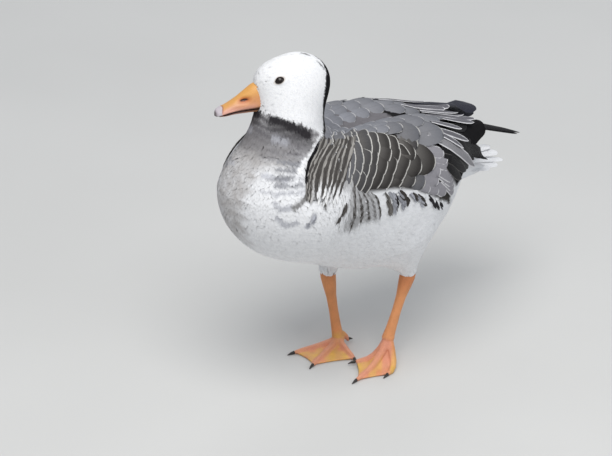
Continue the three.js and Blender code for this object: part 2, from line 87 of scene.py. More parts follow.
def turn(pitch, yaw):
    """A pitch about X, then a yaw about Z, in degrees."""
    p, y = math.radians(pitch), math.radians(yaw)
    about_x = np.array([[1, 0, 0], [0, math.cos(p), -math.sin(p)], [0, math.sin(p), math.cos(p)]])
    about_z = np.array([[math.cos(y), -math.sin(y), 0], [math.sin(y), math.cos(y), 0], [0, 0, 1]])
    return about_z @ about_x


def spline(keys, t):
    """A smooth curve through rows of keys; the first column is the place along it."""
    keys = np.asarray(keys, float)
    x, y = keys[:, 0], keys[:, 1:]
    slope = np.gradient(y, x, axis=0)
    i = np.clip(np.searchsorted(x, t, side="right") - 1, 0, len(x) - 2)
    h = x[i + 1] - x[i]
    s = ((t - x[i]) / h)[..., None]
    h = h[..., None]
    return ((2 * s**3 - 3 * s**2 + 1) * y[i] + (s**3 - 2 * s**2 + s) * h * slope[i]
            + (-2 * s**3 + 3 * s**2) * y[i + 1] + (s**3 - s**2) * h * slope[i + 1])


# ---------------------------------------------------------------- the body's form

def smooth_min(a, b, k):
    h = np.maximum(k - np.abs(a - b), 0) / k
    return np.minimum(a, b) - h * h * k / 4


def ellipsoid(at, radii, pitch=0, yaw=0):
    at, radii, way = vec(*at), vec(*radii), turn(pitch, yaw)

    def distance(p):
        q = (p - at) @ way
        k0 = np.linalg.norm(q / radii, axis=-1)
        k1 = np.linalg.norm(q / radii**2, axis=-1)
        return k0 * (k0 - 1) / np.maximum(k1, 1e-6)
    return distance


def limb(a, b, radius_a, radius_b):
    a, b = vec(*a), vec(*b)

    def distance(p):
        away, t = to_segment(p, a, b)
        return away - lerp(radius_a, radius_b, t)
    return distance


def blend(fields, k):
    def distance(p):
        d = fields[0](p)
        for f in fields[1:]:
            d = smooth_min(d, f(p), k)
        return d
    return distance


HEAD_AT = vec(-7, -99, 339)
HEAD_WAY = turn(5, -27)
EYE_AT = vec(18, -17, 15.5)            # the left eye, in the head's own axes
EYE_R = 6.4
NECK_TOP = 296.0                       # above it all feathers are the head's
HEAD_REACH = 50.0                      # and so are those within this distance from its middle


def from_head(p):
    """From the head's own axes to the goose's."""
    return np.asarray(p, float) @ HEAD_WAY.T + HEAD_AT


def to_head(p):
    return (p - HEAD_AT) @ HEAD_WAY


# The ends of the thighs and shanks on each side.
HIPS = {LEFT: (42, 12, 152), RIGHT: (-42, 4, 152)}
HOCKS = {LEFT: (44, 27, 96), RIGHT: (-39.5, -13, 82)}
FEET = {LEFT: (43, -1, 30), RIGHT: (-25.5, -10.5, 6.8)}

trunk_form = blend([
    ellipsoid((0, -99, 217), (80, 79, 68), pitch=-18),     # breast
    ellipsoid((0, -8, 191), (86, 102, 80), pitch=-4),      # belly
    ellipsoid((0, 44, 194), (66, 70, 58), pitch=8),        # rear
    limb((0, 60, 204), (0, 150, 182), 43, 15),             # rump
], 34)
neck_form = blend([
    trunk_form,
    limb((0, -118, 228), (-3, -110, 300), 59, 27),
    limb((-3, -110, 300), (-7, -94, 336), 28, 30),
], 34)
back_form = blend([neck_form] + [blend([
    ellipsoid((s * 42, -8, 231), (40, 116, 50), pitch=-8, yaw=s * 5),
    limb((s * 43, 46, 230), (s * 19, 158, 224), 37, 11),
], 14) for s in (LEFT, RIGHT)], 26)
skull_form = blend([
    ellipsoid((0, 4, 3), (27, 37, 32)),
    ellipsoid((0, -20, 7), (18, 21, 21)),
    ellipsoid((9, -4, -12), (20, 28, 21)),
    ellipsoid((-9, -4, -12), (20, 28, 21)),
], 14)
body_form = blend([
    blend([back_form, lambda p: skull_form(to_head(p))], 12),
] + [limb(HIPS[s], vec(*HOCKS[s]) + (0, 0, 8), 32, 10) for s in (LEFT, RIGHT)], 24)


def body_slope(p):
    """The gradient of the body's field, from four places round each point."""
    reach = 0.6
    corners = vec([1, -1, -1], [-1, -1, 1], [-1, 1, -1], [1, 1, 1])
    return sum(body_form(p + c * reach)[..., None] * c for c in corners) / (4 * reach)


def settle(p, level=0.0, passes=3):
    """Moves points onto the surface that lies level outside the body, and gives the normals there."""
    for _ in range(passes):
        slope = body_slope(p)
        steepness = np.maximum((slope * slope).sum(-1), 0.2)
        p = p - slope * ((body_form(p) - level) / steepness)[..., None]
    return p, unit(slope)


BODY_COAT, NECK_COAT, HEAD_COAT, LEG_COAT = 3.4, 2.6, 1.4, 2.0


def coat_depth(p):
    """How far the skin lies under the tips of the coat."""
    head = smoothstep(60, 30, np.linalg.norm(p - HEAD_AT, axis=-1))
    neck = smoothstep(262, 300, p[..., 2]) * (1 - head)
    depth = BODY_COAT * (1 - head) * (1 - neck) + NECK_COAT * neck + HEAD_COAT * head
    return lerp(depth, LEG_COAT, smoothstep(150, 110, p[..., 2]))


def surface_net(field, low, high, cell):
    """The zero surface of a field in a box, as points and four-sided faces."""
    low = vec(*low)
    n = np.ceil((vec(*high) - low) / cell).astype(int) + 1
    axes = [low[k] + cell * np.arange(n[k]) for k in range(3)]
    y, z = np.meshgrid(axes[1], axes[2], indexing="ij")
    value = np.stack([field(np.stack([np.full_like(y, x), y, z], -1)) for x in axes[0]])
    inside = value < 0
    total = np.zeros((*(n - 1), 3))
    count = np.zeros(n - 1)
    rings = []
    for axis in range(3):
        first, second = [slice(None)] * 3, [slice(None)] * 3
        first[axis], second[axis] = slice(0, -1), slice(1, None)
        first, second = tuple(first), tuple(second)
        at = np.nonzero(inside[first] != inside[second])
        a, b = value[first][at], value[second][at]
        corner = np.stack(at, -1)
        p = low + cell * corner
        p[:, axis] += cell * a / (a - b)
        # The four cells round each crossed edge, turned so that the face looks outwards.
        steps = np.zeros((4, 3), int)
        steps[:, (axis + 1) % 3] = 0, 1, 1, 0
        steps[:, (axis + 2) % 3] = 0, 0, 1, 1
        cells = corner[:, None] - steps
        for c in cells.transpose(1, 2, 0):
            np.add.at(total, tuple(c), p)
            np.add.at(count, tuple(c), 1)
        rings.append(np.where(inside[first][at][:, None, None], cells, cells[:, ::-1]))
    used = count > 0
    number = np.full(n - 1, -1)
    number[used] = np.arange(used.sum())
    return total[used] / count[used][:, None], number[tuple(np.concatenate(rings).transpose(2, 0, 1))]


SKIN_BOX = (-100, -215, 60), (100, 190, 385)
SKIN_CELL = 2.6


# ---------------------------------------------------------------- meshes

def into_frame(p):
    return p * MM + ORIGIN


def make_mesh(name, points, quads=(), tris=()):
    """A smooth mesh object from points in millimetres."""
    quads = np.asarray(quads, np.int32).reshape(-1, 4)
    tris = np.asarray(tris, np.int32).reshape(-1, 3)
    mesh = bpy.data.meshes.new(name)
    mesh.vertices.add(len(points))
    mesh.vertices.foreach_set("co", into_frame(points).astype(np.float32).ravel())
    corners = np.concatenate([quads.ravel(), tris.ravel()])
    mesh.loops.add(len(corners))
    mesh.loops.foreach_set("vertex_index", corners)
    starts = np.concatenate([np.arange(len(quads)) * 4, len(quads) * 4 + np.arange(len(tris)) * 3])
    mesh.polygons.add(len(starts))
    mesh.polygons.foreach_set("loop_start", starts.astype(np.int32))
    mesh.polygons.foreach_set("use_smooth", np.ones(len(starts), bool))
    mesh.update(calc_edges=True)
    thing = bpy.data.objects.new(name, mesh)
    bpy.context.scene.collection.objects.link(thing)
    return thing


def set_colours(thing, **layers):
    for name, colours in layers.items():
        layer = thing.data.attributes.new(name, "FLOAT_COLOR", "POINT")
        rgba = np.concatenate([colours, np.ones((len(colours), 1))], 1)
        layer.data.foreach_set("color", rgba.astype(np.float32).ravel())


def set_vectors(thing, **layers):
    for name, vectors in layers.items():
        layer = thing.data.attributes.new(name, "FLOAT_VECTOR", "POINT")
        layer.data.foreach_set("vector", np.asarray(vectors, np.float32).ravel())


def set_uv(thing, name, uv):
    """A UV map from one place for each point."""
    layer = thing.data.uv_layers.new(name=name)
    index = np.empty(len(thing.data.loops), np.int32)
    thing.data.loops.foreach_get("vertex_index", index)
    layer.data.foreach_set("uv", np.asarray(uv, np.float32)[index].ravel())


def finish_piece(thing, material):
    thing.data.materials.append(material)
    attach(thing, "root")


# ---------------------------------------------------------------- materials

class Nodes:
    """A short way to write a node tree."""

    def __init__(self, name):
        self.material = bpy.data.materials.new(name)
        self.material.use_nodes = True
        self.tree = self.material.node_tree
        self.shader = self.tree.nodes["Principled BSDF"]

    def node(self, kind, inputs=None, **settings):
        made = self.tree.nodes.new(kind)
        for key, value in settings.items():
            setattr(made, key, value)
        for key, value in (inputs or {}).items():
            self.put(made.inputs[key], value)
        return made

    def put(self, socket, value):
        if isinstance(value, bpy.types.NodeSocket):
            self.tree.links.new(value, socket)
        else:
            socket.default_value = value

    def math(self, operation, a, b=0.0, c=0.0):
        return self.node("ShaderNodeMath", {0: a, 1: b, 2: c}, operation=operation).outputs[0]

    def step(self, x, low, high):
        """0 below low and 1 above high, smooth between."""
        made = self.node("ShaderNodeMapRange", {"Value": x, "From Min": low, "From Max": high},
                         interpolation_type="SMOOTHSTEP")
        return made.outputs[0]

    def mix(self, factor, a, b, kind="RGBA", blend_type="MIX"):
        made = self.node("ShaderNodeMix", {"Factor": factor}, data_type=kind, blend_type=blend_type)
        sockets = [s for s in made.inputs if s.type == kind][-2:]
        for socket, value in zip(sockets, (a, b)):
            self.put(socket, value if isinstance(value, bpy.types.NodeSocket) else (*value, 1))
        return next(s for s in made.outputs if s.type == kind)

    def shaded(self, colour, shade):
        """A colour times a grey value."""
        grey = self.node("ShaderNodeCombineColor", {0: shade, 1: shade, 2: shade}).outputs[0]
        return self.mix(1.0, colour, grey, blend_type="MULTIPLY")

    def carried(self, name, output="Color"):
        """A colour or vector that the mesh carries."""
        return self.node("ShaderNodeAttribute", attribute_name=name).outputs[output]

    def parts(self, vector):
        return self.node("ShaderNodeSeparateXYZ", {0: vector}).outputs

    def place(self, stretch=None):
        """The object's own space, which may be stretched along its axes."""
        own = self.node("ShaderNodeTexCoord").outputs["Object"]
        if stretch is None:
            return own
        return self.node("ShaderNodeMapping", {"Vector": own, "Scale": stretch}).outputs[0]

    def noise(self, scale, detail, stretch=None):
        """A noise from 0 to 1, with scale in cells per metre."""
        inputs = {"Vector": self.place(stretch), "Scale": scale, "Detail": detail}
        return self.node("ShaderNodeTexNoise", inputs).outputs["Fac"]

    def bump(self, height, strength, distance, **more):
        inputs = {"Height": height, "Strength": strength, "Distance": distance, **more}
        self.put(self.shader.inputs["Normal"], self.node("ShaderNodeBump", inputs).outputs[0])

    def finish(self, colour, roughness, **constants):
        self.put(self.shader.inputs["Base Color"], colour)
        self.put(self.shader.inputs["Roughness"], roughness)
        for name, value in constants.items():
            self.put(self.shader.inputs[name.replace("_", " ")], value)
        return self.material


EDGE_FRAY = 1.3                        # millimetres by which a fringe's edge wanders
FRINGE_ENDS = 0.45, 1.35               # where a fringe is full and where it ends, in its own widths
BARB_SLANT, BARB_WANDER, BARB_SHADE = 1.1, 2.2, 0.045     # how far barbs lean, stray and shade the vane
SHAFT_ENDS = 0.15, 0.5                 # where the shaft is full and where it ends, in mm from its middle
SHAFT_DARK = (0.05, 0.045, 0.042)


def plumage_material(name, softness, roughness, shine, relief, blotch, side_fade):
    """Feathers. Their colours are in the mesh: ink is the vane's and rim its fringe's.
    lie holds millimetres to the tip, across from the shaft, and to the side's edge.
    make holds the fringe's width, the barbs' spacing and the strength of the shaft.
    form is the body's own normal, which softens the light on a thick coat.
    blotch is how uneven the shade is. side_fade narrows the fringe at the sides, away from the tip."""
    n = Nodes(name)
    to_tip, across, to_side = n.parts(n.carried("lie", "Vector"))
    rim_width, barb_size, shaft = n.parts(n.carried("make", "Vector"))
    sideways = n.math("ABSOLUTE", across)
    edge = n.math("SMOOTH_MIN", to_tip, n.math("MULTIPLY_ADD", to_tip, side_fade, to_side), 1.5)
    edge = n.math("MULTIPLY_ADD", n.math("SUBTRACT", n.noise(900, 3), 0.5), EDGE_FRAY, edge)
    fringe = n.math("SUBTRACT", 1.0, n.step(n.math("DIVIDE", edge, rim_width), *FRINGE_ENDS))
    colour = n.mix(fringe, n.carried("ink"), n.carried("rim"))
    # Barbs run outwards and forwards from the shaft.
    slope = n.math("MULTIPLY_ADD", sideways, -BARB_SLANT, n.math("MULTIPLY", to_tip, -1.0))
    wander = n.math("MULTIPLY", n.noise(260, 2), BARB_WANDER)
    turns = n.math("ADD", n.math("DIVIDE", slope, barb_size), wander)
    barb = n.math("SINE", n.math("MULTIPLY", turns, 2 * math.pi))
    shade = n.math("MULTIPLY_ADD", n.noise(420, 3), blotch, 1.0 - blotch / 2)
    colour = n.shaded(colour, n.math("MULTIPLY_ADD", barb, BARB_SHADE, shade))
    line = n.math("MULTIPLY", n.math("SUBTRACT", 1.0, n.step(sideways, *SHAFT_ENDS)), shaft)
    colour = n.mix(n.math("MULTIPLY", line, 0.5), colour, SHAFT_DARK)
    facing = n.node("ShaderNodeNewGeometry").outputs["Normal"]
    soft = n.mix(softness, facing, n.carried("form", "Vector"), "VECTOR")
    normal = n.node("ShaderNodeVectorMath", {0: soft}, operation="NORMALIZE").outputs[0]
    n.bump(n.math("MULTIPLY_ADD", barb, 0.5, line), relief, 0.0003, Normal=normal)
    return n.finish(colour, roughness, Specular_IOR_Level=shine)


def bare_material(name, scale, shades, bump, roughness, shine):
    """A plain surface in the mesh's own colours, shaded and raised by a fine noise.
    shades holds the noise's share of the shade and its lowest, and bump its strength and depth."""
    n = Nodes(name)
    fine = n.noise(scale, 4)
    colour = n.shaded(n.carried("ink"), n.math("MULTIPLY_ADD", fine, *shades))
    n.bump(fine, *bump)
    return n.finish(colour, roughness, Specular_IOR_Level=shine)


# ---------------------------------------------------------------- camera, light and floor

VIEW_AZIMUTH, VIEW_ELEVATION = math.radians(46.0), math.radians(24.0)
VIEW_DISTANCE = 3500.0
VIEW_SCALE = 0.90                      # pixels per millimetre at the goose's origin
ORIGIN_IN_VIEW = (361.0, 349.0)        # in pixels from the image's upper left corner
IMAGE_SIZE = (612, 456)
SENSOR_WIDTH = 36.0
AIM = (0, 0, 0.2)
LIGHTS = [          # name, place and aim in metres, size, power and colour
    ("key", (0.9, -1.0, 2.6), AIM, 2.2, 66, (1.0, 0.985, 0.96)),
    ("fill", (2.2, 0.6, 1.4), AIM, 2.0, 8, (0.93, 0.96, 1.0)),
    ("back", (-1.6, 1.8, 1.9), (0, 0, 0.25), 1.6, 14, (1, 1, 1)),
]
SKY_COLOUR, SKY_STRENGTH = (0.90, 0.94, 1.0, 1), 0.5
FLOOR_REACH = 30000.0
FLOOR_GREYS = (0.55, 0.55, 0.54), (0.60, 0.60, 0.59)


def floor_material():
    n = Nodes("floor")
    return n.finish(n.mix(n.noise(3, 2), *FLOOR_GREYS), 0.8)


def add_camera():
    """The camera sees the goose's origin at its place in the image."""
    a, e = VIEW_AZIMUTH, VIEW_ELEVATION
    back = vec(math.sin(a) * math.cos(e), -math.cos(a) * math.cos(e), math.sin(e))
    right = vec(math.cos(a), math.sin(a), 0)
    up = np.cross(back, right)
    focal = VIEW_SCALE * VIEW_DISTANCE
    u = (ORIGIN_IN_VIEW[0] - IMAGE_SIZE[0] / 2) / focal
    w = (IMAGE_SIZE[1] / 2 - ORIGIN_IN_VIEW[1]) / focal
    place = -VIEW_DISTANCE * (u * right + w * up - back)
    data = bpy.data.cameras.new("camera")
    data.sensor_width = SENSOR_WIDTH
    data.sensor_fit = "HORIZONTAL"
    data.lens = focal / IMAGE_SIZE[0] * SENSOR_WIDTH
    data.clip_start, data.clip_end = 0.1, 50.0
    camera = bpy.data.objects.new("camera", data)
    camera.matrix_world = Matrix.Translation(Vector(into_frame(place))) @ Matrix(
        np.stack([right, up, back], 1).tolist()).to_4x4()
    bpy.context.scene.collection.objects.link(camera)
    bpy.context.scene.camera = camera


def add_area_light(name, place, aim, size, power, colour):
    data = bpy.data.lights.new(name, "AREA")
    data.shape, data.size, data.energy, data.color = "DISK", size, power, colour
    light = bpy.data.objects.new(name, data)
    light.location = place
    light.rotation_euler = (Vector(aim) - Vector(place)).to_track_quat("-Z", "Y").to_euler()
    bpy.context.scene.collection.objects.link(light)


def add_stage():
    """A pale floor under a soft sky, with three soft lights."""
    corners = np.array([[-1, -1, 0], [1, -1, 0], [1, 1, 0], [-1, 1, 0]]) * FLOOR_REACH
    floor = make_mesh("floor", corners, [[0, 1, 2, 3]])
    floor.data.materials.append(floor_material())
    bpy.context.scene.view_settings.view_transform = "Standard"
    world = bpy.data.worlds.new("world")
    bpy.context.scene.world = world
    world.use_nodes = True
    sky = world.node_tree.nodes["Background"].inputs
    sky["Color"].default_value, sky["Strength"].default_value = SKY_COLOUR, SKY_STRENGTH
    for light in LIGHTS:
        add_area_light(*light)


# ---------------------------------------------------------------- markings

MOST_LIGHT = 0.82                      # the share of light that white feathers give back


def tone(r, g, b):
    """The share of light given back by a surface that looks like this on a screen beside pure white."""
    c = vec(r, g, b) / 255
    return MOST_LIGHT * np.where(c < 0.04045, c / 12.92, ((c + 0.055) / 1.055)**2.4)


WHITE = tone(250, 251, 254)
MIST = tone(204, 206, 215)             # bluish grey on white, also laid on as painted shade under white feathers
DOVE = tone(203, 200, 199)             # mottled grey of the breast
ASH = tone(152, 154, 162)              # the mantle's bluish grey
SLATE = tone(120, 118, 122)
CHARCOAL = tone(52, 50, 53)
BLACK = tone(30, 29, 31)
UMBER = tone(68, 65, 63)               # the wing's dark brown-grey
TAUPE = tone(110, 107, 104)
CREAM = tone(214, 212, 207)
PEARL = tone(214, 214, 219)
SECONDARY_GREY = tone(160, 158, 164)
SECONDARY_FRINGE = tone(232, 231, 234)
SHOULDER_DARK = tone(80, 77, 75)
SHOULDER_PALE = tone(160, 157, 153)
FLANK_DARK = tone(76, 71, 67)

# Round the neck, by height: where the head's white ends, in degrees from the front at each height.
HEAD_EDGE = [(0, 321), (35, 321), (52, 319), (70, 313), (85, 304), (96, 294), (106, 288), (180, 288)]
# Where the black nape stripe starts, by height, in degrees either side of the front.
NAPE_EDGE = [(240, 52), (250, 55), (258, 57), (269, 59), (276, 63), (283, 70), (290, 82), (296, 97),
             (302, 114), (310, 121), (318, 126), (330, 129), (340, 135), (350, 143), (357, 152), (365, 166),
             (371, 184)]
# The height of the folded wing's lower edge, from the front to the rear.
WING_EDGE = [(-150, 252), (-138, 243), (-120, 250), (-108, 262), (-92, 249), (-84, 239), (-62, 236),
             (-37, 232), (-8, 222), (16, 208), (46, 189), (62, 178)]
# The black under the folded wings: where it starts by height, and its lower edge from front to rear.
BLACK_FRONT = [(190, 74), (210, 60), (223, 51), (236, 43), (248, 37), (262, 37)]
BLACK_BOTTOM = [(30, 190), (50, 180), (70, 198), (110, 203), (150, 196), (200, 190)]

# Markings, and a crescent of painted shade under white feathers, that are drawn both in the coat's colour and
# by short feathers over it.
WING_FRONT = (34, -91, 295), (42, -109, 289), (46, -118, 283), (48, -127, 276), (53, -135, 267)
BREAST_BAR = (73, -131, 240), (75, -129, 236)
# painted shade: a bluish grey crescent under white feathers on the breast
BREAST_SHADE_CRESCENT = (71, -141, 229), (70, -144, 221), (67, -148, 217)
# Soft strokes on the coat: a colour, how strong, half the width, and places along the middle.
STROKES = [
    # the throat, darkest under the head's edge
    (CHARCOAL, 1.0, 5.0, (8, -140, 318), (14, -137, 317), (24, -131, 313), (31, -123, 307), (35, -116, 301)),
    (CHARCOAL, 0.6, 8.0, (10, -141, 312), (22, -136, 306), (30, -128, 299), (37, -119, 293)),
    (SLATE, 0.6, 14.0, (-8, -150, 298), (8, -150, 292), (26, -140, 288), (40, -128, 281)),
    (MIST, 0.5, 3.5, (15, -145, 299), (25, -139, 297)),
    # crescents low on the breast: the bluish grey ones are painted shade under white feathers, the brown bars
    # are the feathers' own colour
    (MIST, 0.7, 2.4, (20, -166, 266), (31, -161, 264), (41, -154, 264)),
    (MIST * 0.72, 0.75, 2.6, (41, -170, 241), (48, -167, 237), (54, -160, 239)),
    (MIST * 0.72, 0.75, 2.6, (45, -170, 227), (52, -165, 219), (60, -157, 222)),
    (UMBER * 1.6, 0.8, 2.6, (62, -143, 250), (61, -149, 244), (57, -157, 238)),
    (TAUPE, 0.8, 1.8, *BREAST_BAR),
    (MIST * 0.75, 0.9, 2.2, *BREAST_SHADE_CRESCENT),
    (TAUPE * 0.8, 0.9, 2.6, (70, -108, 264), (75, -109, 256), (77, -113, 250)),
    # grey rows down the neck, beside the white stripe
    (SLATE, 0.75, 1.8, (18, -150, 297), (30, -140, 294), (37, -129, 292)),
    (SLATE, 0.75, 1.8, (16, -156, 291), (30, -144, 287), (39, -131, 286)),
    (MIST * 0.42, 0.85, 2.2, (28, -152, 280), (37, -144, 278), (45, -132, 276)),
    (MIST * 0.42, 0.85, 2.2, (30, -157, 273), (38, -149, 272), (47, -136, 271)),
    (MIST * 0.4, 0.85, 2.6, (33, -160, 265), (42, -151, 265), (51, -139, 265)),
    (MIST * 0.45, 0.85, 2.6, (36, -162, 258), (46, -152, 258), (54, -142, 259)),
    (MIST * 0.75, 0.7, 2.2, (40, -164, 251), (50, -154, 251), (57, -144, 252)),
]
# Strokes on the left only, over the neck's stripes, the wing's front edge and the crown, and one of painted
# shade low on the breast.
FINE_STROKES = [
    (SLATE, 0.5, 1.3, (15, -151, 287), (25, -147, 286)),
    (SLATE, 0.5, 1.3, (9, -157, 281), (22, -152, 281)),
    (SLATE, 0.4, 1.5, (26, -165, 263), (38, -159, 262)),
    # painted shade under white feathers, low on the breast
    (MIST * 0.8, 0.5, 1.6, (25, -173, 252), (40, -167, 249)),
    (BLACK, 0.9, 1.6, *WING_FRONT),
    (CHARCOAL, 0.8, 1.6, (-2, -89, 374), (3, -85, 373)),
    (CHARCOAL, 0.8, 1.2, (13, -80, 366), (18, -78, 360)),
]


def table(pairs, x):
    xs, ys = zip(*pairs)
    return np.interp(x, xs, ys)


def neck_angle(p):
    """Degrees round the neck from its front, either way. It turns with the head."""
    axis_x = lerp(0.0, -7.0, smoothstep(228, 336, p[..., 2]))
    axis_y = lerp(-104.0, -94.0, smoothstep(228, 345, p[..., 2]))
    angle = np.degrees(np.arctan2(p[..., 0] - axis_x, -(p[..., 1] - axis_y)))
    angle = angle + 27 * smoothstep(285, 335, p[..., 2])
    return np.abs((angle + 180) % 360 - 180)


def wing_share(p, soft=2.5):
    """1 on the folded wings and the back, 0 on the breast, flanks and rump."""
    x, y, z = np.moveaxis(p, -1, 0)
    above = smoothstep(-soft, soft, z - table(WING_EDGE, y))
    behind = smoothstep(3 - soft, 3 + soft, neck_angle(p) - table(NAPE_EDGE, z))
    rump = smoothstep(64, 56, y - 0.9 * np.maximum(z - 205, 0))
    return above * behind * rump * smoothstep(300, 290, z)


def laid(colour, ink, amount):
    """Colours with an ink laid over them, by an amount from 0 to 1 at each place."""
    return lerp(colour, ink, np.clip(amount, 0, 1)[..., None])


STROKE_REACH = 40.0                    # no stroke is longer from its middle


def stroked(colour, p, strokes):
    """Colours at points with soft strokes laid over them."""
    for ink, strength, half, *way in strokes:
        way = [vec(*w) for w in way]
        near = np.abs(p - sum(way) / len(way)).max(-1) < STROKE_REACH
        if near.any():
            d = np.min([to_segment(p[near], a, b)[0] for a, b in zip(way[:-1], way[1:])], axis=0)
            amount = np.zeros(near.shape)
            amount[near] = strength * smoothstep(half * 1.5 + 0.8, half * 0.5, d)
            colour = laid(colour, ink, amount)
    return colour


def breast_colours(colour, p):
    """A grey breast, deeper on the right side, and a throat that darkens upwards."""
    x, y, z = np.moveaxis(p, -1, 0)
    front = smoothstep(-60, -100, y) * smoothstep(165, 200, z)
    mottle = np.sin(x * 0.21 + 2.1 * np.sin(z * 0.13 + x * 0.05)) * np.sin(z * 0.31 + 1.3 * np.sin(x * 0.17))
    wave = 3.5 * np.sin(z * 0.42 + 0.1 * y) + 2 * np.sin(z * 0.9)
    side = smoothstep(17, 3, x - 0.05 * (z - 230) + wave) * smoothstep(-84, -62, x)
    grey = front * side * smoothstep(306, 296, z) * lerp(0.5, 1.0, 0.5 + 0.5 * mottle)
    colour = laid(colour, DOVE * 0.94, grey)
    rows = 0.5 + 0.5 * np.sin(z * 0.95 + 0.9 * np.sin(x * 0.19) + 0.06 * y)
    grey = front * smoothstep(262, 282, z) * smoothstep(60, 30, x) * lerp(0.55, 0.95, rows)
    colour = laid(colour, DOVE * 0.8, grey)
    return laid(colour, SLATE * 0.7, front * smoothstep(284, 304, z) * lerp(0.45, 1.0, rows))


def back_colours(colour, p):
    """Dark wings with a bluish mantle, and black behind and under them."""
    x, y, z = np.moveaxis(p, -1, 0)
    mantle = smoothstep(60, 20, np.abs(x))
    colour = laid(colour, lerp(UMBER, SLATE, mantle[..., None]), wing_share(p))
    behind = smoothstep(0, 5, y - table(BLACK_FRONT, z))
    return laid(colour, BLACK, behind * smoothstep(-2, 4, z - table(BLACK_BOTTOM, y)))


def neck_colours(colour, p):
    """A white head, a white stripe down each side of the neck, and a black nape behind it."""
    y, z = p[..., 1], p[..., 2]
    round_neck = neck_angle(p)
    nape = table(NAPE_EDGE, z)
    stripe = smoothstep(nape - 13, nape - 9, round_neck) * smoothstep(nape + 1, nape - 1, round_neck)
    colour = laid(colour, WHITE, stripe * smoothstep(255, 272, z) * smoothstep(-70, -90, y))
    end = nape + lerp(6.0, 100.0, smoothstep(294, 308, z))
    black = smoothstep(nape - 1.5, nape + 1.5, round_neck) * smoothstep(end + 3, end, round_neck)
    colour = laid(colour, BLACK, black * smoothstep(246, 254, z) * ((y < -60) | (z > 300)))
    edge = table(HEAD_EDGE, round_neck)
    return laid(colour, WHITE, smoothstep(edge - 1, edge + 1, z) * smoothstep(nape + 2, nape - 2, round_neck))


def coat_colour(p):
    """The coat's colour at points: the markings of a pied goose, and bluish grey crescents of painted shade
    under white feathers.
    The two sides differ in the breast's grey and in the fine strokes."""
    p = np.asarray(p, float)
    mirrored = p.copy()
    mirrored[..., 0] = np.abs(p[..., 0] + 3) - 3
    colour = breast_colours(np.broadcast_to(WHITE, p.shape), p)
    colour = stroked(colour, mirrored, STROKES)
    colour = neck_colours(back_colours(colour, p), p)
    return stroked(colour, p, FINE_STROKES)


# ---------------------------------------------------------------- how the coat lies

# The line that the plumage follows, from the bill over the head and back to the tail.
SPINE = [from_head((0, -70, -4)), from_head((0, 2, 4)), vec(-3, -110, 300), vec(0, -104, 258),
         vec(0, -58, 212), vec(0, 60, 200), vec(0, 160, 185), vec(0, 250, 166)]


# How steeply the wing's feathers lie, in degrees, from the front to the rear.
WING_DROP = [(-140, 78), (-110, 66), (-60, 48), (-30, 44), (0, 22), (27, 6), (60, 0)]


def flow(p):
    """The way that feathers lie: from the bill over the head, down the neck and back to the tail."""
    total = np.zeros_like(p)
    for a, b in zip(SPINE[:-1], SPINE[1:]):
        away, _ = to_segment(p, a, b)
        total += unit(b - a) / np.maximum(away, 1)[..., None]**4
    way = unit(total)
    throat = smoothstep(330, 314, p[..., 2]) * smoothstep(-98, -114, p[..., 1])
    way = unit(lerp(way, vec(0, 0.1, -1), throat[..., None]))
    leg = smoothstep(150, 122, p[..., 2])[..., None]
    way = unit(lerp(way, vec(0, 0.25, -1), leg))
    wing = wing_share(p, 8)[..., None]
    return unit(lerp(way, wing_flow(p), wing))


def wing_flow(p):
    """On the wings feathers lie down and back at the shoulder, and straight back towards the tail."""
    x, y, _ = np.moveaxis(p, -1, 0)
    down = np.radians(table(WING_DROP, y) * smoothstep(12, 45, np.abs(x)))
    out = np.sign(x) * 0.12 * smoothstep(40, -20, y) * smoothstep(5, 30, np.abs(x))
    return unit(np.stack([out, np.cos(down), -np.sin(down)], -1))


def tangent(way, normal):
    return unit(way - normal * (way * normal).sum(-1, keepdims=True))


TRIES = 3.2          # how many places are drawn for each square of the spacing
NEAREST = 0.82       # how near two feathers may be, as a share of the spacing


def scatter(keep, spacing, seed):
    """Random places on the skin, no nearer to each other than the spacing allows."""
    rng = np.random.default_rng(seed)
    corner = SKIN[0][SKIN[1]]
    middle = corner.mean(1)
    wanted = keep(middle)
    corner, middle = corner[wanted], middle[wanted]
    area = np.linalg.norm(np.cross(corner[:, 2] - corner[:, 0], corner[:, 3] - corner[:, 1]), axis=1) / 2
    share = area / spacing(middle)**2
    count = int(share.sum() * TRIES)
    pick = rng.choice(len(corner), count, p=share / share.sum())
    u, v = rng.random((2, count, 1))
    c = corner[pick]
    p = lerp(lerp(c[:, 0], c[:, 1], u), lerp(c[:, 3], c[:, 2], u), v)
    reach = spacing(p) * NEAREST
    tree = kdtree.KDTree(len(p))
    for i, q in enumerate(p):
        tree.insert(q, i)
    tree.balance()
    gone = np.zeros(len(p), bool)
    kept = []
    for i, q in enumerate(p):
        if not gone[i]:
            kept.append(i)
            for _, j, _ in tree.find_range(q, reach[i]):
                gone[j] = True
    return p[kept]


# ---------------------------------------------------------------- feathers

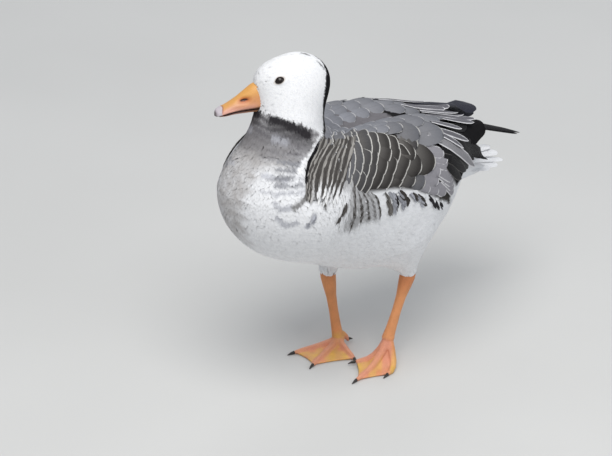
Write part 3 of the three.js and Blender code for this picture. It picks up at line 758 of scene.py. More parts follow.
# Each shape: rows along the vane, the share of the width at each, the columns, and how round the tip is.
TUFT = ([0.0, 0.5, 1.0], [0.7, 1.0, 0.45], 3, 0.35)
CONTOUR = ([0.0, 0.4, 0.75, 1.0], [0.5, 1.0, 0.95, 0.4], 3, 0.7)
COVERT = ([0.0, 0.3, 0.55, 0.75, 0.9, 0.97, 1.0], [0.4, 0.9, 1.0, 1.0, 1.0, 0.97, 0.9], 7, 0.16)
SCAPULAR = ([0.0, 0.3, 0.55, 0.75, 0.9, 0.97, 1.0], [0.4, 0.9, 1.0, 1.0, 0.95, 0.84, 0.66], 7, 0.6)
PLUME = ([0.0, 0.2, 0.4, 0.6, 0.75, 0.88, 0.96, 1.0], [0.4, 0.8, 1.0, 1.0, 0.92, 0.7, 0.42, 0.16], 7, 0.5)
QUILL = ([0.0, 0.2, 0.4, 0.6, 0.78, 0.9, 0.97, 1.0], [0.6, 0.9, 1.0, 0.97, 0.85, 0.62, 0.36, 0.14], 7, 0.3)


def turned_by(way, normal, angle):
    angle = np.radians(angle)[:, None]
    return way * np.cos(angle) + np.cross(normal, way) * np.sin(angle)


def walk(p, way, length, rows, level, steer):
    """Lines over the body, row by row, kept at a level outside it and steered at each row."""
    path, done = [], rows[0]
    for v in rows:
        p = p + way * (length * (v - done))[:, None]
        done = v
        p, normal = settle(p, level(v), passes=2)
        way = steer(p, normal, way)
        path.append((p, normal, way))
    return path


def run_forward(root, length, shape, depth, lift, rng, sway):
    """The middle line of feathers from their roots in the skin, at each row: place, normal and way."""
    p, normal = settle(root, -depth)
    lift = lift - 1.6 * wing_share(p, 6)
    way = turned_by(tangent(flow(p), normal), normal, rng.normal(0, sway, len(root)))
    return walk(p, way, length, shape[0], lambda v: lift - (depth + lift) * (1 - v)**3.4,
                lambda p, normal, way: tangent(way, normal))


def run_back(tip, length, shape, depth, lift, turned):
    """The same for feathers of the wing whose tips are at given places."""
    p, normal = settle(tip, lift)
    return walk(p, tangent(wing_flow(p), normal), length, shape[0][::-1],
                lambda v: lift - (depth + lift) * (1 - v)**1.6,
                lambda p, normal, way: turned_by(tangent(wing_flow(p), normal), normal, turned))[::-1]


def vanes(path, length, width, shape, rng, camber, roll, tilt=0.0, notch=0.0, tip_side=None):
    """Feathers along their middle lines, as (feather, row, column) points and what their material reads.
    roll is how far single feathers lean at random, in degrees, and tilt how far all of them do."""
    along, share, columns, roundness = shape
    across = np.linspace(-1, 1, columns)
    count = len(path[0][0])
    lean = np.radians(rng.normal(0, roll, count) + tilt)[:, None]
    fray = rng.uniform(0, 1, (count, columns)) * notch
    drop = 1 - np.sqrt(1 - 0.94 * across**2)
    rows, lies = [], []
    for (p, normal, way), v, w in zip(path, along, share):
        side = np.cross(way, normal)
        if tip_side is not None:
            side = tangent(lerp(side, tip_side, v), normal)
        rolled = side * np.cos(lean) + normal * np.sin(lean)
        half = (width / 2 * w)[:, None]
        back = (width / 2)[:, None] * roundness * drop * smoothstep(0.3, 0.95, v)
        back = back + fray * length[:, None] * smoothstep(0.8, 1.0, v)
        rows.append(p[:, None] + across[:, None] * (rolled * half)[:, None]
                    - (across**2)[:, None] * (normal * half * camber)[:, None]
                    - way[:, None] * back[..., None])
        to_tip = (length * (1 - v))[:, None] * np.ones(columns)
        lies.append(np.stack([to_tip, half * across, half * (1 - np.abs(across))], -1))
    form = np.stack([np.repeat(normal[:, None], columns, 1) for _, normal, _ in path], 1)
    return {"points": np.stack(rows, 1), "lie": np.stack(lies, 1), "form": form}


def vane_faces(count, rows, columns):
    r, c = np.meshgrid(np.arange(rows - 1), np.arange(columns - 1), indexing="ij")
    a = (r * columns + c).ravel()
    quad = np.stack([a, a + 1, a + columns + 1, a + columns], -1)
    return (quad[None] + (np.arange(count) * rows * columns)[:, None, None]).reshape(-1, 4)


def spread(values, shape):
    """Values for all feathers, for each feather or for each point, as one for each point."""
    values = np.asarray(values, float)
    if values.ndim == 1:
        values = np.broadcast_to(values, (*shape, len(values)))
    if values.ndim == 2:
        values = np.broadcast_to(values[:, None, None], (*shape, values.shape[1]))
    return values.reshape(-1, values.shape[-1])


def coat_piece(name, vane, looks, material, patch, chart=None):
    """One mesh of many feathers, with a patch for each in the OFBake map.
    looks holds the vanes' ink, their fringes' ink, and the numbers that the material reads as make."""
    shape = vane["points"].shape[:3]
    count, rows, columns = shape
    chart = grid_chart(count) if chart is None else chart
    ink, rim, make = looks
    thing = make_mesh(name, vane["points"].reshape(-1, 3), vane_faces(*shape))
    set_colours(thing, ink=spread(ink, shape), rim=spread(rim, shape))
    set_vectors(thing, lie=vane["lie"], form=vane["form"], make=spread(make, shape))
    low, high = chart.min(0), chart.max(0)
    place = 0.02 + 0.96 * (chart - low) / np.maximum(high - low, 1e-6)
    u = np.linspace(-0.5, 0.5, columns)
    v = np.linspace(-0.5, 0.5, rows)
    spot = np.stack(np.broadcast_arrays(u[None, :], v[:, None]), -1) * patch
    set_uv(thing, "OFBake", (place[:, None, None] + spot).reshape(-1, 2))
    finish_piece(thing, material)


AXIS_HEIGHT, BODY_R, NECK_R = 195, 75, 30      # the body's long axis, and mean radii, for the unwraps


def body_chart(p):
    """An unwrap of the body: the angle round its long axis, and the place along it."""
    return np.stack([np.arctan2(p[:, 0], p[:, 2] - AXIS_HEIGHT) * BODY_R, p[:, 1]], 1)


def head_chart(p):
    """An unwrap of the head and neck: the angle round the neck, and the way down it."""
    q = to_head(p)
    round_neck = np.arctan2(q[:, 0], -q[:, 1] + 0.001)
    return np.stack([round_neck * NECK_R, p[:, 2] + 0.35 * q[:, 1]], 1)


def grid_chart(count):
    """A place for each of many feathers, side by side."""
    side = math.ceil(math.sqrt(count))
    i = np.arange(count)
    return np.stack([i % side, i // side], 1).astype(float)


# ---------------------------------------------------------------- the coat

def on_head(p):
    return (p[:, 2] > NECK_TOP) | (np.linalg.norm(p - HEAD_AT, axis=1) < HEAD_REACH)


# In the head's own axes, by height: how far forward the feathers reach round the bill's base.
BILL_BORDER = [(-22, -42), (-15, -37), (-10, -37.5), (-4, -39), (4, -39), (9, -37.5), (12, -42.5), (16, -62)]
MOST_TRIANGLES = 190000


def on_bill(p):
    """The bare bill's own ground, which feathers leave free."""
    _, y, z = to_head(p).T
    return (y < table(BILL_BORDER, z)) & (z > -15)


def add_contour_coat(name, keep, sizes, shape, lift, seed, chart):
    """Small feathers all over a part of the body, in pieces that each hold few enough triangles.
    sizes gives the spacing, length, width and depth of the feathers at places."""
    rng = np.random.default_rng(seed)
    root, _ = settle(scatter(keep, lambda p: sizes(p)[0], seed), 0)
    most = MOST_TRIANGLES // ((len(shape[0]) - 1) * (shape[2] - 1) * 2)
    pieces = math.ceil(len(root) / most)
    for i, root in enumerate(np.array_split(root[np.argsort(root[:, 1])], pieces)):
        _, length, width, depth = sizes(root)
        length = length * rng.uniform(0.85, 1.2, len(root))
        width = width * rng.uniform(0.9, 1.15, len(root))
        path = run_forward(root, length, shape, depth, lift, rng, sway=6.0)
        vane = vanes(path, length, width, shape, rng, camber=0.12, roll=3.0, notch=0.1)
        jitter = rng.normal(0, 0.7, (len(root), 3))
        spot = lerp(root[:, None, None], vane["points"], 0.8) + jitter[:, None, None]
        ink = coat_colour(spot) * rng.uniform(0.93, 1.04, (len(root), 1, 1, 1))
        looks = ink, np.minimum(ink * 1.15, 0.85), [0.4, 0.55, 0.0]
        coat_piece(f"{name}_{i + 1}", vane, looks, SOFT_PLUMAGE, patch=0.003,
                   chart=chart(root))


BARE_ROUND_EYE = 1.45                  # how far feathers keep off the eye, in times its opening


def feathered_head(p):
    return on_head(p) & ~on_bill(p) & ~on_eye_opening(p, BARE_ROUND_EYE)


def head_sizes(p):
    """Tiny feathers on the head that grow down the neck."""
    down_neck = smoothstep(325, 296, p[:, 2])
    return [lerp(*ends, down_neck) for ends in ((1.35, 1.9), (5.5, 9.0), (2.7, 3.4), (0.8, 1.6))]


def body_sizes(p):
    """Shorter feathers on the breast and thighs, and larger ones under the wings' feathers."""
    low = smoothstep(150, 120, p[:, 2])
    front = smoothstep(-60, -120, p[:, 1])
    under = wing_share(p, 6)
    spacing = 2.5 - 0.3 * front - 0.5 * low + 1.5 * under
    length = 13 - 3 * front - 5 * low + 2 * under
    width = 4.8 - 1.0 * front - 2.0 * low + 2.5 * under
    return spacing, length, width, 2.8 - 1.0 * low


# ---------------------------------------------------------------- the wings

# Each row of coverts: its tips' line from the back down to the wing's edge, the feathers' length, width
# and spacing, and how dark they are from 0 to 1.
COVERT_ROWS = [
    ([(22, -66, 283), (36, -84, 286), (50, -92, 281), (60, -96, 274), (68, -100, 268), (74, -103, 261)],
     30, 17, 10, 0.4),
    ([(20, -52, 281), (39, -66, 285), (52, -77, 281), (60, -81, 277), (68, -87, 271), (73, -92, 265),
      (78, -98, 257)], 32, 19, 11, 0.5),
    ([(30, -48, 283), (49, -62, 283), (60, -73, 278), (69, -79, 271), (74, -85, 265), (78, -93, 257),
      (80, -99, 250)], 34, 20, 12, 0.6),
    ([(24, -36, 281), (39, -48, 284), (56, -60, 281), (65, -65, 276), (72, -70, 269), (76, -75, 263),
      (80, -84, 254), (82, -92, 246)], 36, 22, 13, 0.65),
    ([(40, -34, 284), (52, -42, 282), (65, -50, 277), (72, -58, 270), (76, -64, 263), (80, -74, 253),
      (83, -85, 241)], 40, 24, 14, 0.75),
    ([(53, -31, 281), (64, -39, 277), (72, -48, 269), (78, -57, 260), (82, -66, 250), (84, -76, 239)],
     42, 25, 14, 0.8),
    ([(60, -22, 277), (68, -27, 271), (75, -33, 264), (80, -42, 258), (83, -51, 248), (85, -62, 238)],
     44, 26, 15, 0.9),
    ([(66, -13, 273), (72, -16, 268), (77, -22, 260), (81, -31, 252), (84, -39, 244), (86, -49, 234)],
     46, 27, 15, 1.0),
    ([(74, -8, 264), (79, -6, 254), (82, -12, 248), (84, -19, 242), (86, -28, 234), (86, -38, 229)],
     46, 27, 15, 1.0),
]
# Soft feathers across the upper back, behind the neck: each row's tip line on the left.
MANTLE_ROWS = [
    ([(0, -72, 287), (16, -74, 288), (32, -80, 288)], 22, 15, 10, 0.0),
    ([(0, -60, 282), (14, -60, 283), (28, -66, 285)], 24, 15, 10, 0.05),
    ([(0, -46, 279), (12, -46, 280), (24, -50, 283)], 26, 16, 10.5, 0.1),
    ([(0, -32, 277), (12, -32, 279), (24, -34, 282)], 28, 17, 11, 0.12),
]
# Big feathers placed one by one: tip, length, width, turn in degrees, darkness, and the height of the tip.
SCAPULARS = [
    ((14, -18, 277), 32, 20, 4, 0.2, 0.8), ((28, -18, 281), 34, 22, 0, 0.25, 0.9),
    ((42, -22, 283), 34, 22, -4, 0.3, 0.9),
    ((46, -8, 281), 36, 22, -4, 0.35, 1.0), ((14, 0, 276), 34, 22, 4, 0.25, 1.0),
    ((32, 2, 279), 36, 24, 0, 0.3, 1.2), ((48, 10, 278), 44, 26, -4, 0.45, 2.0),
    ((16, 24, 274), 38, 24, 3, 0.3, 1.2), ((34, 26, 276), 42, 26, 0, 0.35, 1.8),
    ((57, 26, 272), 50, 32, -4, 0.5, 2.4), ((20, 50, 271), 42, 26, 2, 0.4, 1.8),
    ((38, 50, 270), 46, 28, 0, 0.4, 2.2), ((60, 58, 262), 58, 34, -6, 0.45, 2.8),
    ((16, 76, 264), 44, 26, 2, 0.4, 2.4), ((36, 78, 262), 50, 28, -2, 0.4, 2.8),
    ((10, 98, 259), 44, 24, 3, 0.4, 3.2), ((27, 92, 259), 46, 26, 0, 0.42, 3.4),
]
GREATER = [
    ((69, 14, 265), 44, 24, 0, 0.8, 1.5), ((76, 4, 258), 44, 26, -4, 0.95, 1.6),
    ((82, 5, 241), 52, 32, -16, 1.0, 2.0), ((81, 27, 240), 60, 34, -18, 0.95, 2.4),
    ((86, -8, 230), 46, 24, -10, 0.8, 0.8), ((86, 8, 224), 46, 24, -16, 0.55, 0.6),
]
# The same, without the darkness.
SECONDARIES = [
    ((86, 34, 229), 52, 20, -20, 0.7), ((87, 30, 219), 50, 18, -26, 0.5),
    ((87, 16, 214), 46, 15, -24, 0.3), ((86, 30, 207), 50, 15, -30, 0.4),
    ((84, 44, 201), 54, 15, -36, 0.5),
    ((78, 44, 246), 58, 15, -20, 1.2), ((81, 47, 238), 60, 15, -26, 1.1),
    ((82, 50, 230), 62, 15, -30, 1.0), ((82, 53, 222), 62, 15, -34, 0.9),
    ((81, 56, 214), 62, 14, -37, 0.8), ((80, 59, 207), 60, 14, -40, 0.7),
    ((78, 62, 200), 58, 13, -43, 0.6), ((75, 64, 193), 54, 12, -46, 0.5),
]
# White feathers of the flank that lie over the wing's lower edge: root and tip.
FLANK_COVERS = [
    ((84, -80, 228), (87, -50, 236)), ((86, -62, 226), (88, -30, 231)), ((87, -44, 219), (88, -10, 222)),
    ((88, -26, 212), (88, 10, 211)), ((88, -8, 203), (86, 28, 196)), ((87, 8, 192), (80, 44, 181)),
]
FLANK_COVER_WIDTH = 20.0
# For each strip of the flank: how dark it is over its width, and along its rear edge.
FLANK_TONES = [(0.05, 0.2), (0.5, 1.0), (0.6, 1.0), (0.6, 0.95), (0.5, 0.8), (0.4, 1.0)]
# Lines that the long strands of the shoulder follow, from the neck's foot down to the flank, front to rear.
SHOULDER_LINES = [
    [(34, -92, 295), (43, -111, 287), (49, -125, 277), (54, -135, 266), (59, -140, 257), (62, -144, 247)],
    [(36, -84, 293), (44, -97, 286), (53, -116, 277), (59, -129, 266), (63, -136, 255), (66, -141, 245)],
    [(36, -70, 288), (48, -86, 285), (56, -103, 279), (63, -118, 268), (68, -127, 256), (71, -133, 245)],
    [(34, -58, 285), (48, -73, 283), (62, -98, 275), (69, -110, 265), (73, -119, 254), (76, -124, 243)],
    [(34, -46, 283), (47, -58, 282), (63, -80, 276), (72, -97, 264), (77, -108, 250), (80, -113, 240)],
]
# Lines down the strips that hang over the flank, front to rear.
FLANK_LINES = [
    [(74, -102, 259), (79, -106, 248), (81, -110, 237), (81, -115, 225), (79, -120, 212)],
    [(75, -95, 260), (80, -99, 247), (83, -101, 231), (82, -105, 215), (77, -109, 199)],
    [(77, -91, 257), (82, -93, 243), (84, -94, 228), (83, -94, 212), (78, -96, 196)],
    [(82, -89, 244), (84, -86, 234), (85, -84, 223), (84, -83, 214), (82, -83, 204)],
    [(84, -81, 239), (85, -77, 229), (85, -75, 219), (84, -73, 211), (82, -72, 202)],
    [(84, -75, 237), (85, -70, 228), (85, -67, 219), (85, -64, 210), (83, -63, 201)],
    [(85, -68, 236), (86, -63, 227), (86, -60, 218), (85, -58, 210), (84, -57, 201)],
]
# Dark crescents and bars, and bluish grey bands of painted shade under white feathers: colour, half the
# width, how many strands, and places along the middle.
MARKS = [
    (UMBER * 1.5, 1.6, 16, (81, -107, 239), (82, -107, 232), (82, -110, 225), (80, -116, 217),
     (79, -120, 214)),
    (TAUPE * 1.1, 2.2, 18, (86, -52, 234), (86, -48, 224), (86, -45, 212), (85, -44, 204)),
    # the bluish grey bands are painted shade under the white feathers' edges
    (MIST * 0.6, 2.6, 18, (86, -47, 233), (87, -42, 223), (87, -38, 212), (86, -36, 200)),
    (CHARCOAL, 1.8, 18, (86, -44, 233), (87, -39, 223), (87, -35, 213), (86, -34, 204)),
    (MIST * 0.55, 2.8, 16, (87, -35, 227), (88, -28, 218), (88, -24, 211), (87, -27, 206)),
    (UMBER, 2.4, 26, (87, -32, 227), (88, -24, 218), (88, -20, 212), (87, -24, 208)),
    (MIST * 0.6, 1.8, 8, (88, -20, 226), (88, -12, 216), (87, -9, 208)),
    (UMBER * 1.2, 1.5, 10, (87, -17, 226), (88, -9, 216), (87, -6, 209)),
    (MIST * 0.6, 2.2, 10, (88, -10, 218), (88, -1, 209), (87, 5, 199)),
    (UMBER, 1.8, 14, (88, -7, 218), (88, 2, 209), (87, 8, 199)),
    (CHARCOAL, 1.7, 14, (87, 12, 211), (86, 19, 201), (85, 25, 190)),
    (CHARCOAL, 1.4, 12, (86, 23, 203), (83, 32, 186)),
    (CHARCOAL, 1.2, 9, (84, 32, 197), (81, 41, 183)),
    (TAUPE, 1.3, 5, *BREAST_BAR),
    # painted shade: a bluish grey crescent under white feathers
    (MIST * 0.7, 1.8, 8, *BREAST_SHADE_CRESCENT),
]
# The wing's front edge beside the neck's stripe, which shows on the left.
FRONT_EDGE_MARK = (BLACK, 1.2, 26, *WING_FRONT, (57, -140, 259))
MARK_LIFT = 2.2                        # how high the marks' tips stand over the body


def mirror_of(side):
    """What turns places on the left into places on a side."""
    return vec(side, 1, 1)


def columns_of(placed):
    return [np.array(c, float) for c in zip(*placed)]


def on_line(points, marks, at):
    """Places on a line of points, where marks are the points' own values of at."""
    return np.stack([np.interp(at, marks, points[:, k]) for k in range(3)], -1)


def along_line(points, spacing):
    """Places at an even spacing along a line of points, and the line's direction there."""
    points = np.asarray(points, float)
    step = np.linalg.norm(np.diff(points, axis=0), axis=1)
    done = np.concatenate([[0], np.cumsum(step)])
    count = max(2, round(done[-1] / spacing))
    at = (np.arange(count) + 0.5) * done[-1] / count
    return on_line(points, done, at), unit(on_line(points, done, at + 2) - on_line(points, done, at - 2))


def wing_batch(side, placed, shape, rng, depth, tilt, tip_side=None):
    """Feathers of one folded wing, from their places on the left."""
    tips, length, width, turned, lift = placed
    path = run_back(tips * mirror_of(side), length, shape, depth, lift, turned * side)
    if tip_side is not None:
        tip_side = -tip_side * mirror_of(side) * side
    return vanes(path, length, width, shape, rng, camber=0.2, roll=1.5, tilt=tilt * side, tip_side=tip_side)


def covert_looks(dark, rng, shape):
    """Brown-grey vanes, darkest before a pale fringe."""
    v = np.asarray(shape[0])[None, :, None, None]
    base = lerp(ASH, TAUPE, smoothstep(0.15, 0.8, dark)[:, None])[:, None, None]
    near_tip = lerp(ASH * 0.74, UMBER * 0.8, smoothstep(0.2, 0.95, dark)[:, None])[:, None, None]
    ink = lerp(base, near_tip, smoothstep(0.55, 0.92, v)) * rng.uniform(0.92, 1.08, (len(dark), 1, 1, 1))
    ink = np.broadcast_to(ink, (len(dark), len(shape[0]), shape[2], 3))
    rim = lerp(PEARL * 0.82, CREAM, smoothstep(0.1, 0.5, dark)[:, None])
    make = np.stack([lerp(1.1, 1.4, dark), np.full(len(dark), 0.6), np.full(len(dark), 0.3)], 1)
    return ink, rim, make


def add_covert_rows(kind, name, side, rows):
    rng = np.random.default_rng(31 + side)
    batches = []
    for line, length, width, spacing, dark in rows:
        tips, way = along_line(line, spacing)
        tips = tips + rng.normal(0, 0.4, tips.shape)
        batches.append((tips, way, *(np.full(len(tips), size) for size in (length, width, dark))))
    tips, way, length, width, dark = (np.concatenate(c) for c in zip(*batches))
    turned = rng.normal(0, 1.5, len(tips))
    lift = np.ones(len(tips))
    vane = wing_batch(side, (tips, length, width, turned, lift), COVERT, rng, depth=5.0, tilt=3.0,
                      tip_side=way)
    looks = covert_looks(dark, rng, COVERT)
    coat_piece(f"{kind}_{name}", vane, looks, SLEEK_PLUMAGE, patch=0.02)


def add_scapulars(name, side):
    rng = np.random.default_rng(41 + side)
    tip, length, width, turned, dark, lift = columns_of(GREATER + SCAPULARS)
    tip = tip + rng.normal(0, 0.6, tip.shape)
    vane = wing_batch(side, (tip, length, width, turned, lift), SCAPULAR, rng, depth=5.0, tilt=2.0)
    looks = covert_looks(dark, rng, SCAPULAR)
    coat_piece(f"scapulars_{name}", vane, looks, SLEEK_PLUMAGE, patch=0.03)


def add_secondaries(name, side):
    rng = np.random.default_rng(51 + side)
    vane = wing_batch(side, columns_of(SECONDARIES), SCAPULAR, rng, depth=3.0, tilt=3.0)
    looks = SECONDARY_GREY, SECONDARY_FRINGE, [1.2, 0.5, 0.0]
    coat_piece(f"secondaries_{name}", vane, looks, LONG_PLUMAGE, patch=0.05)


def run_between(places, depth, lift):
    """The middle line of feathers over the body from rows of places, as run_forward gives it."""
    last = len(places) - 1
    levels = [lift - (depth + lift) * (1 - i / last)**3 for i in range(last + 1)]
    settled = [settle(place, level, passes=4) for place, level in zip(places, levels)]
    path = []
    for i, (p, normal) in enumerate(settled):
        ahead, behind = settled[min(i + 1, last)][0], settled[max(i - 1, 0)][0]
        path.append((p, normal, tangent(ahead - behind, normal)))
    return path


def add_flank_covers(name, side):
    rng = np.random.default_rng(61 + side)
    root, tip = (c * mirror_of(side) for c in columns_of(FLANK_COVERS))
    path = run_between([lerp(root, tip, v) for v in PLUME[0]], depth=2.0, lift=1.2)
    length = np.linalg.norm(tip - root, axis=1)
    width = np.full(len(tip), FLANK_COVER_WIDTH)
    vane = vanes(path, length, width, PLUME, rng, camber=0.3, roll=4, notch=0.03)
    looks = coat_colour(vane["points"]), WHITE, [0.8, 0.6, 0.2]
    coat_piece(f"flank_covers_{name}", vane, looks, SOFT_PLUMAGE, patch=0.02)


def place_between(lines, across, down):
    """Places on the net that lines make, from 0 to 1 across them and down them."""
    lines = np.array(lines, float)
    x = np.clip(across, 0, 1) * (len(lines) - 1.001)
    y = down * (lines.shape[1] - 1)
    i, j = x.astype(int), np.clip(y, 0, lines.shape[1] - 2).astype(int)
    u, v = (x - i)[..., None], (y - j)[..., None]
    return lerp(lerp(lines[i, j], lines[i + 1, j], u), lerp(lines[i, j + 1], lines[i + 1, j + 1], u), v)


def strand_piece(name, places, width, looks, lift, rng):
    """Narrow feathers through (feather, row) places."""
    rows = list(places.transpose(1, 0, 2))
    length = sum(np.linalg.norm(b - a, axis=1) for a, b in zip(rows[:-1], rows[1:])) + 1
    path = run_between(rows, depth=1.5, lift=lift)
    vane = vanes(path, length, width, PLUME, rng, camber=0.35, roll=6, notch=0.03)
    coat_piece(name, vane, looks, SOFT_PLUMAGE, patch=0.01)


def shoulder_ink(across, down):
    """Dark brown-grey with paler furrows, ending in white over the flank."""
    furrow = np.sin(across * 46 + 1.2 * np.sin(across * 9) + 2.0 * down)
    ink = laid(SHOULDER_DARK, SHOULDER_PALE, smoothstep(0.1, 0.95, furrow))
    return laid(ink, WHITE, smoothstep(0.8, 1.0, down + 0.15 * furrow) * smoothstep(0.15, 0.4, across))


def flank_ink(across, down):
    """White strips, each barred with brown-grey and darkest along its rear."""
    cell = across * (len(FLANK_LINES) - 1.001)
    plain, edge = np.moveaxis(np.array(FLANK_TONES)[cell.astype(int)], -1, 0)
    dark = lerp(plain, edge, smoothstep(0.45, 0.75, cell % 1))
    bars = 0.92 + 0.12 * np.sin(down * 34 + 5 * np.sin(across * 12))
    top = 0.6 * bars * smoothstep(0.4, 0.12, down)
    return laid(WHITE, FLANK_DARK, np.maximum(dark * bars * smoothstep(1.08, 0.84, down), top))


STRAND_LIFT = 1.2                      # how high a strand's tip stands over the body where lifts says nothing
# Long soft feathers that hang down a net of lines. first is where they start across it on the right.
# reach and span are shares of the way down: how long a feather is, and where feathers begin and end.
STRANDS = {
    "shoulder": {"seed": 65, "count": 640, "lines": SHOULDER_LINES, "first": 0.2, "reach": (0.24, 0.42),
                 "span": (-0.06, 1.04), "sway": 0.03, "ink_at": shoulder_ink, "shades": (0.85, 1.12),
                 "fringe": 1.2, "widths": (2.0, 3.2), "lifts": (1.1, 1.7)},
    "flank": {"seed": 67, "count": 460, "lines": FLANK_LINES, "first": 0.0, "reach": (0.2, 0.36),
              "span": (-0.08, 1.03), "sway": 0.0, "ink_at": flank_ink, "shades": (0.9, 1.04),
              "fringe": 1.12, "widths": (1.7, 2.8)},
}


def add_strands(kind, name, side):
    traits = STRANDS[kind]
    rng = np.random.default_rng(traits["seed"] + side)
    count = traits["count"]
    across = rng.uniform(0 if side == LEFT else traits["first"], 1, count)[:, None]
    reach = rng.uniform(*traits["reach"], count)
    first, last = traits["span"]
    start = np.sort(rng.uniform(first, last - reach, count))[::-1]
    down = start[:, None] + reach[:, None] * np.array(PLUME[0])
    across = across * np.ones_like(down)
    sway = traits["sway"] * np.sin(6 * down + 5 * across)
    places = place_between(traits["lines"], across + sway, down) * mirror_of(side)
    ink = traits["ink_at"](across, down)[:, :, None] * rng.uniform(*traits["shades"], (count, 1, 1, 1))
    ink = ink * np.ones((PLUME[2], 1))
    width = rng.uniform(*traits["widths"], count)
    lift = rng.uniform(*traits["lifts"], count) if "lifts" in traits else STRAND_LIFT
    looks = np.minimum(ink, MOST_LIGHT), np.minimum(ink * traits["fringe"], MOST_LIGHT), [0.5, 0.6, 0.0]
    strand_piece(f"{kind}_{name}", places, width, looks, lift, rng)


def add_marks(name, side):
    """Short narrow feathers that draw the dark crescents and bars crisply, and bluish grey painted shade
    under white feathers.
    """
    rng = np.random.default_rng(69 + side)
    places, widths, inks = [], [], []
    for ink, half, count, *way in MARKS + [FRONT_EDGE_MARK] * (side == LEFT):
        way = np.array(way, float) * mirror_of(side)
        start = rng.uniform(-0.05, 0.62, count)
        aside = rng.normal(0, 0.5 * half, (count, 3))
        at = start[:, None] + 0.42 * np.array(PLUME[0])
        places.append(on_line(way, np.linspace(0, 1, len(way)), at) + aside[:, None])
        widths.append(rng.uniform(0.9, 1.5, count) * half)
        inks.append(ink * rng.uniform(0.75, 1.35, (count, 1)))
    ink = np.concatenate(inks)
    looks = ink, ink * 1.4, [0.3, 0.6, 0.0]
    places, widths = np.concatenate(places), np.concatenate(widths)
    strand_piece(f"marks_{name}", places, widths, looks, MARK_LIFT, rng)


# ---------------------------------------------------------------- the long feathers

# Folded long feathers: for each group the slot, shape, seed and height of the lowest feather over the body,
# and then from the lowest to the uppermost each one's root, middle, tip, width and looks.
LONG_FEATHERS = {
    "primaries_left": ("black_plumage", QUILL, 22, 1.0, [
        ((52, 84, 246), (44, 120, 222), (27, 171, 187), 15, "black"),
        ((56, 78, 246), (50, 112, 224), (38, 150, 200), 15, "black"),
        ((46, 76, 258), (44, 98, 250), (36, 120, 240), 15, "black"),
        ((60, 66, 250), (56, 96, 228), (48, 126, 206), 14, "black"),
        ((70, 46, 254), (65, 84, 230), (53, 117, 204), 13, "lined"),
        ((75, 43, 250), (70, 76, 228), (57, 105, 205), 13, "lined"),
        ((78, 43, 243), (74, 66, 226), (65, 88, 210), 12, "lined"),
        ((81, 45, 233), (79, 58, 220), (74, 72, 208), 11, "lined")]),
    "primaries_right": ("black_plumage", QUILL, 20, 1.0, [
        ((-38, 84, 214), (-32, 124, 202), (-20, 160, 190), 15, "black"),
        ((-40, 84, 218), (-34, 132, 204), (-16, 176, 190), 15, "black"),
        ((-42, 84, 222), (-34, 138, 208), (-12, 190, 191), 14, "black"),
        ((-44, 84, 226), (-31, 169, 214), (-1, 250, 187), 12, "black"),
        ((-45, 84, 228), (-31, 170, 215), (-1, 254, 187.5), 12, "black")]),
    "tertials_left": ("grey_plumage", QUILL, 21, 5.0, [
        ((62, 36, 266), (73, 67, 243), (54, 121, 201), 13, "barred"),
        ((62, 44, 266), (68, 60, 256), (69, 80, 238), 8, "silver"),
        ((57, 46, 267), (63, 70, 256), (59, 98, 238), 9, "silver"),
        ((46, 56, 268), (52, 75, 262), (53, 95, 250), 9, "silver"),
        ((26, 70, 264), (34, 104, 256), (38, 134, 244), 12, "silver"),
        ((18, 73, 266), (27, 107, 257), (31, 142, 243), 15, "silver"),
        ((12, 76, 267), (19, 106, 258), (23, 134, 248), 13, "silver"),
        ((7, 78, 267), (11, 107, 259), (13, 136, 249), 13, "silver")]),
    "tertials_right": ("grey_plumage", SCAPULAR, 23, 5.0, [
        # The far wing's three large tertials are painted dark slate as painted shade, where that wing lies in
        # shade.
        ((-56, 50, 256), (-50, 128, 238), (-38, 200, 212), 24, "slate_in_shade"),
        ((-50, 52, 260), (-43, 131, 244), (-31, 207, 219), 28, "slate_in_shade"),
        ((-43, 54, 264), (-35, 132, 249), (-23, 203, 227), 26, "slate_in_shade"),
        ((-66, 46, 246), (-67, 76, 236), (-62, 106, 222), 14, "silver"),
        ((-58, 50, 254), (-59, 82, 245), (-55, 114, 232), 15, "silver"),
        ((-48, 54, 262), (-48, 88, 254), (-44, 122, 243), 15, "silver"),
        ((-38, 58, 266), (-37, 92, 259), (-33, 128, 248), 15, "silver"),
        ((-30, 84, 256), (-22, 120, 250), (-16, 150, 242), 14, "silver"),
        ((-24, 80, 260), (-14, 108, 256), (-8, 136, 248), 11, "silver")]),
}
LONG_LOOKS = {      # ink, the fringe's ink, the fringe's width and the strength of the shaft
    "black": (BLACK, BLACK * 1.6, 0.4, 0.0),
    "lined": (BLACK, TAUPE * 1.1, 0.5, 0.0),
    "silver": (tone(112, 111, 117), tone(242, 241, 244), 1.4, 0.0),
    "barred": (tone(160, 159, 163), tone(238, 237, 240), 1.3, 0.3),
    # painted shade: a dark slate for the far wing's tertials, which lie in shade
    "slate_in_shade": (tone(48, 49, 60), tone(64, 66, 78), 0.6, 0.2),
}


# A half closed fan whose tips make steps, from the left edge to the right.
TAIL_TIPS = [(17, 184, 171), (11, 203, 168), (1, 222, 165.5), (-10, 225, 170.5), (-20, 223, 175),
             (-29, 212, 177)]
TAIL_ROOTS = vec(12, 116, 190)         # half the width of the line of roots, and its place and height
TAIL_COVERT_RINGS = [(104, 62), (112, 68), (122, 60)]      # each ring's roots, and how far back it reaches


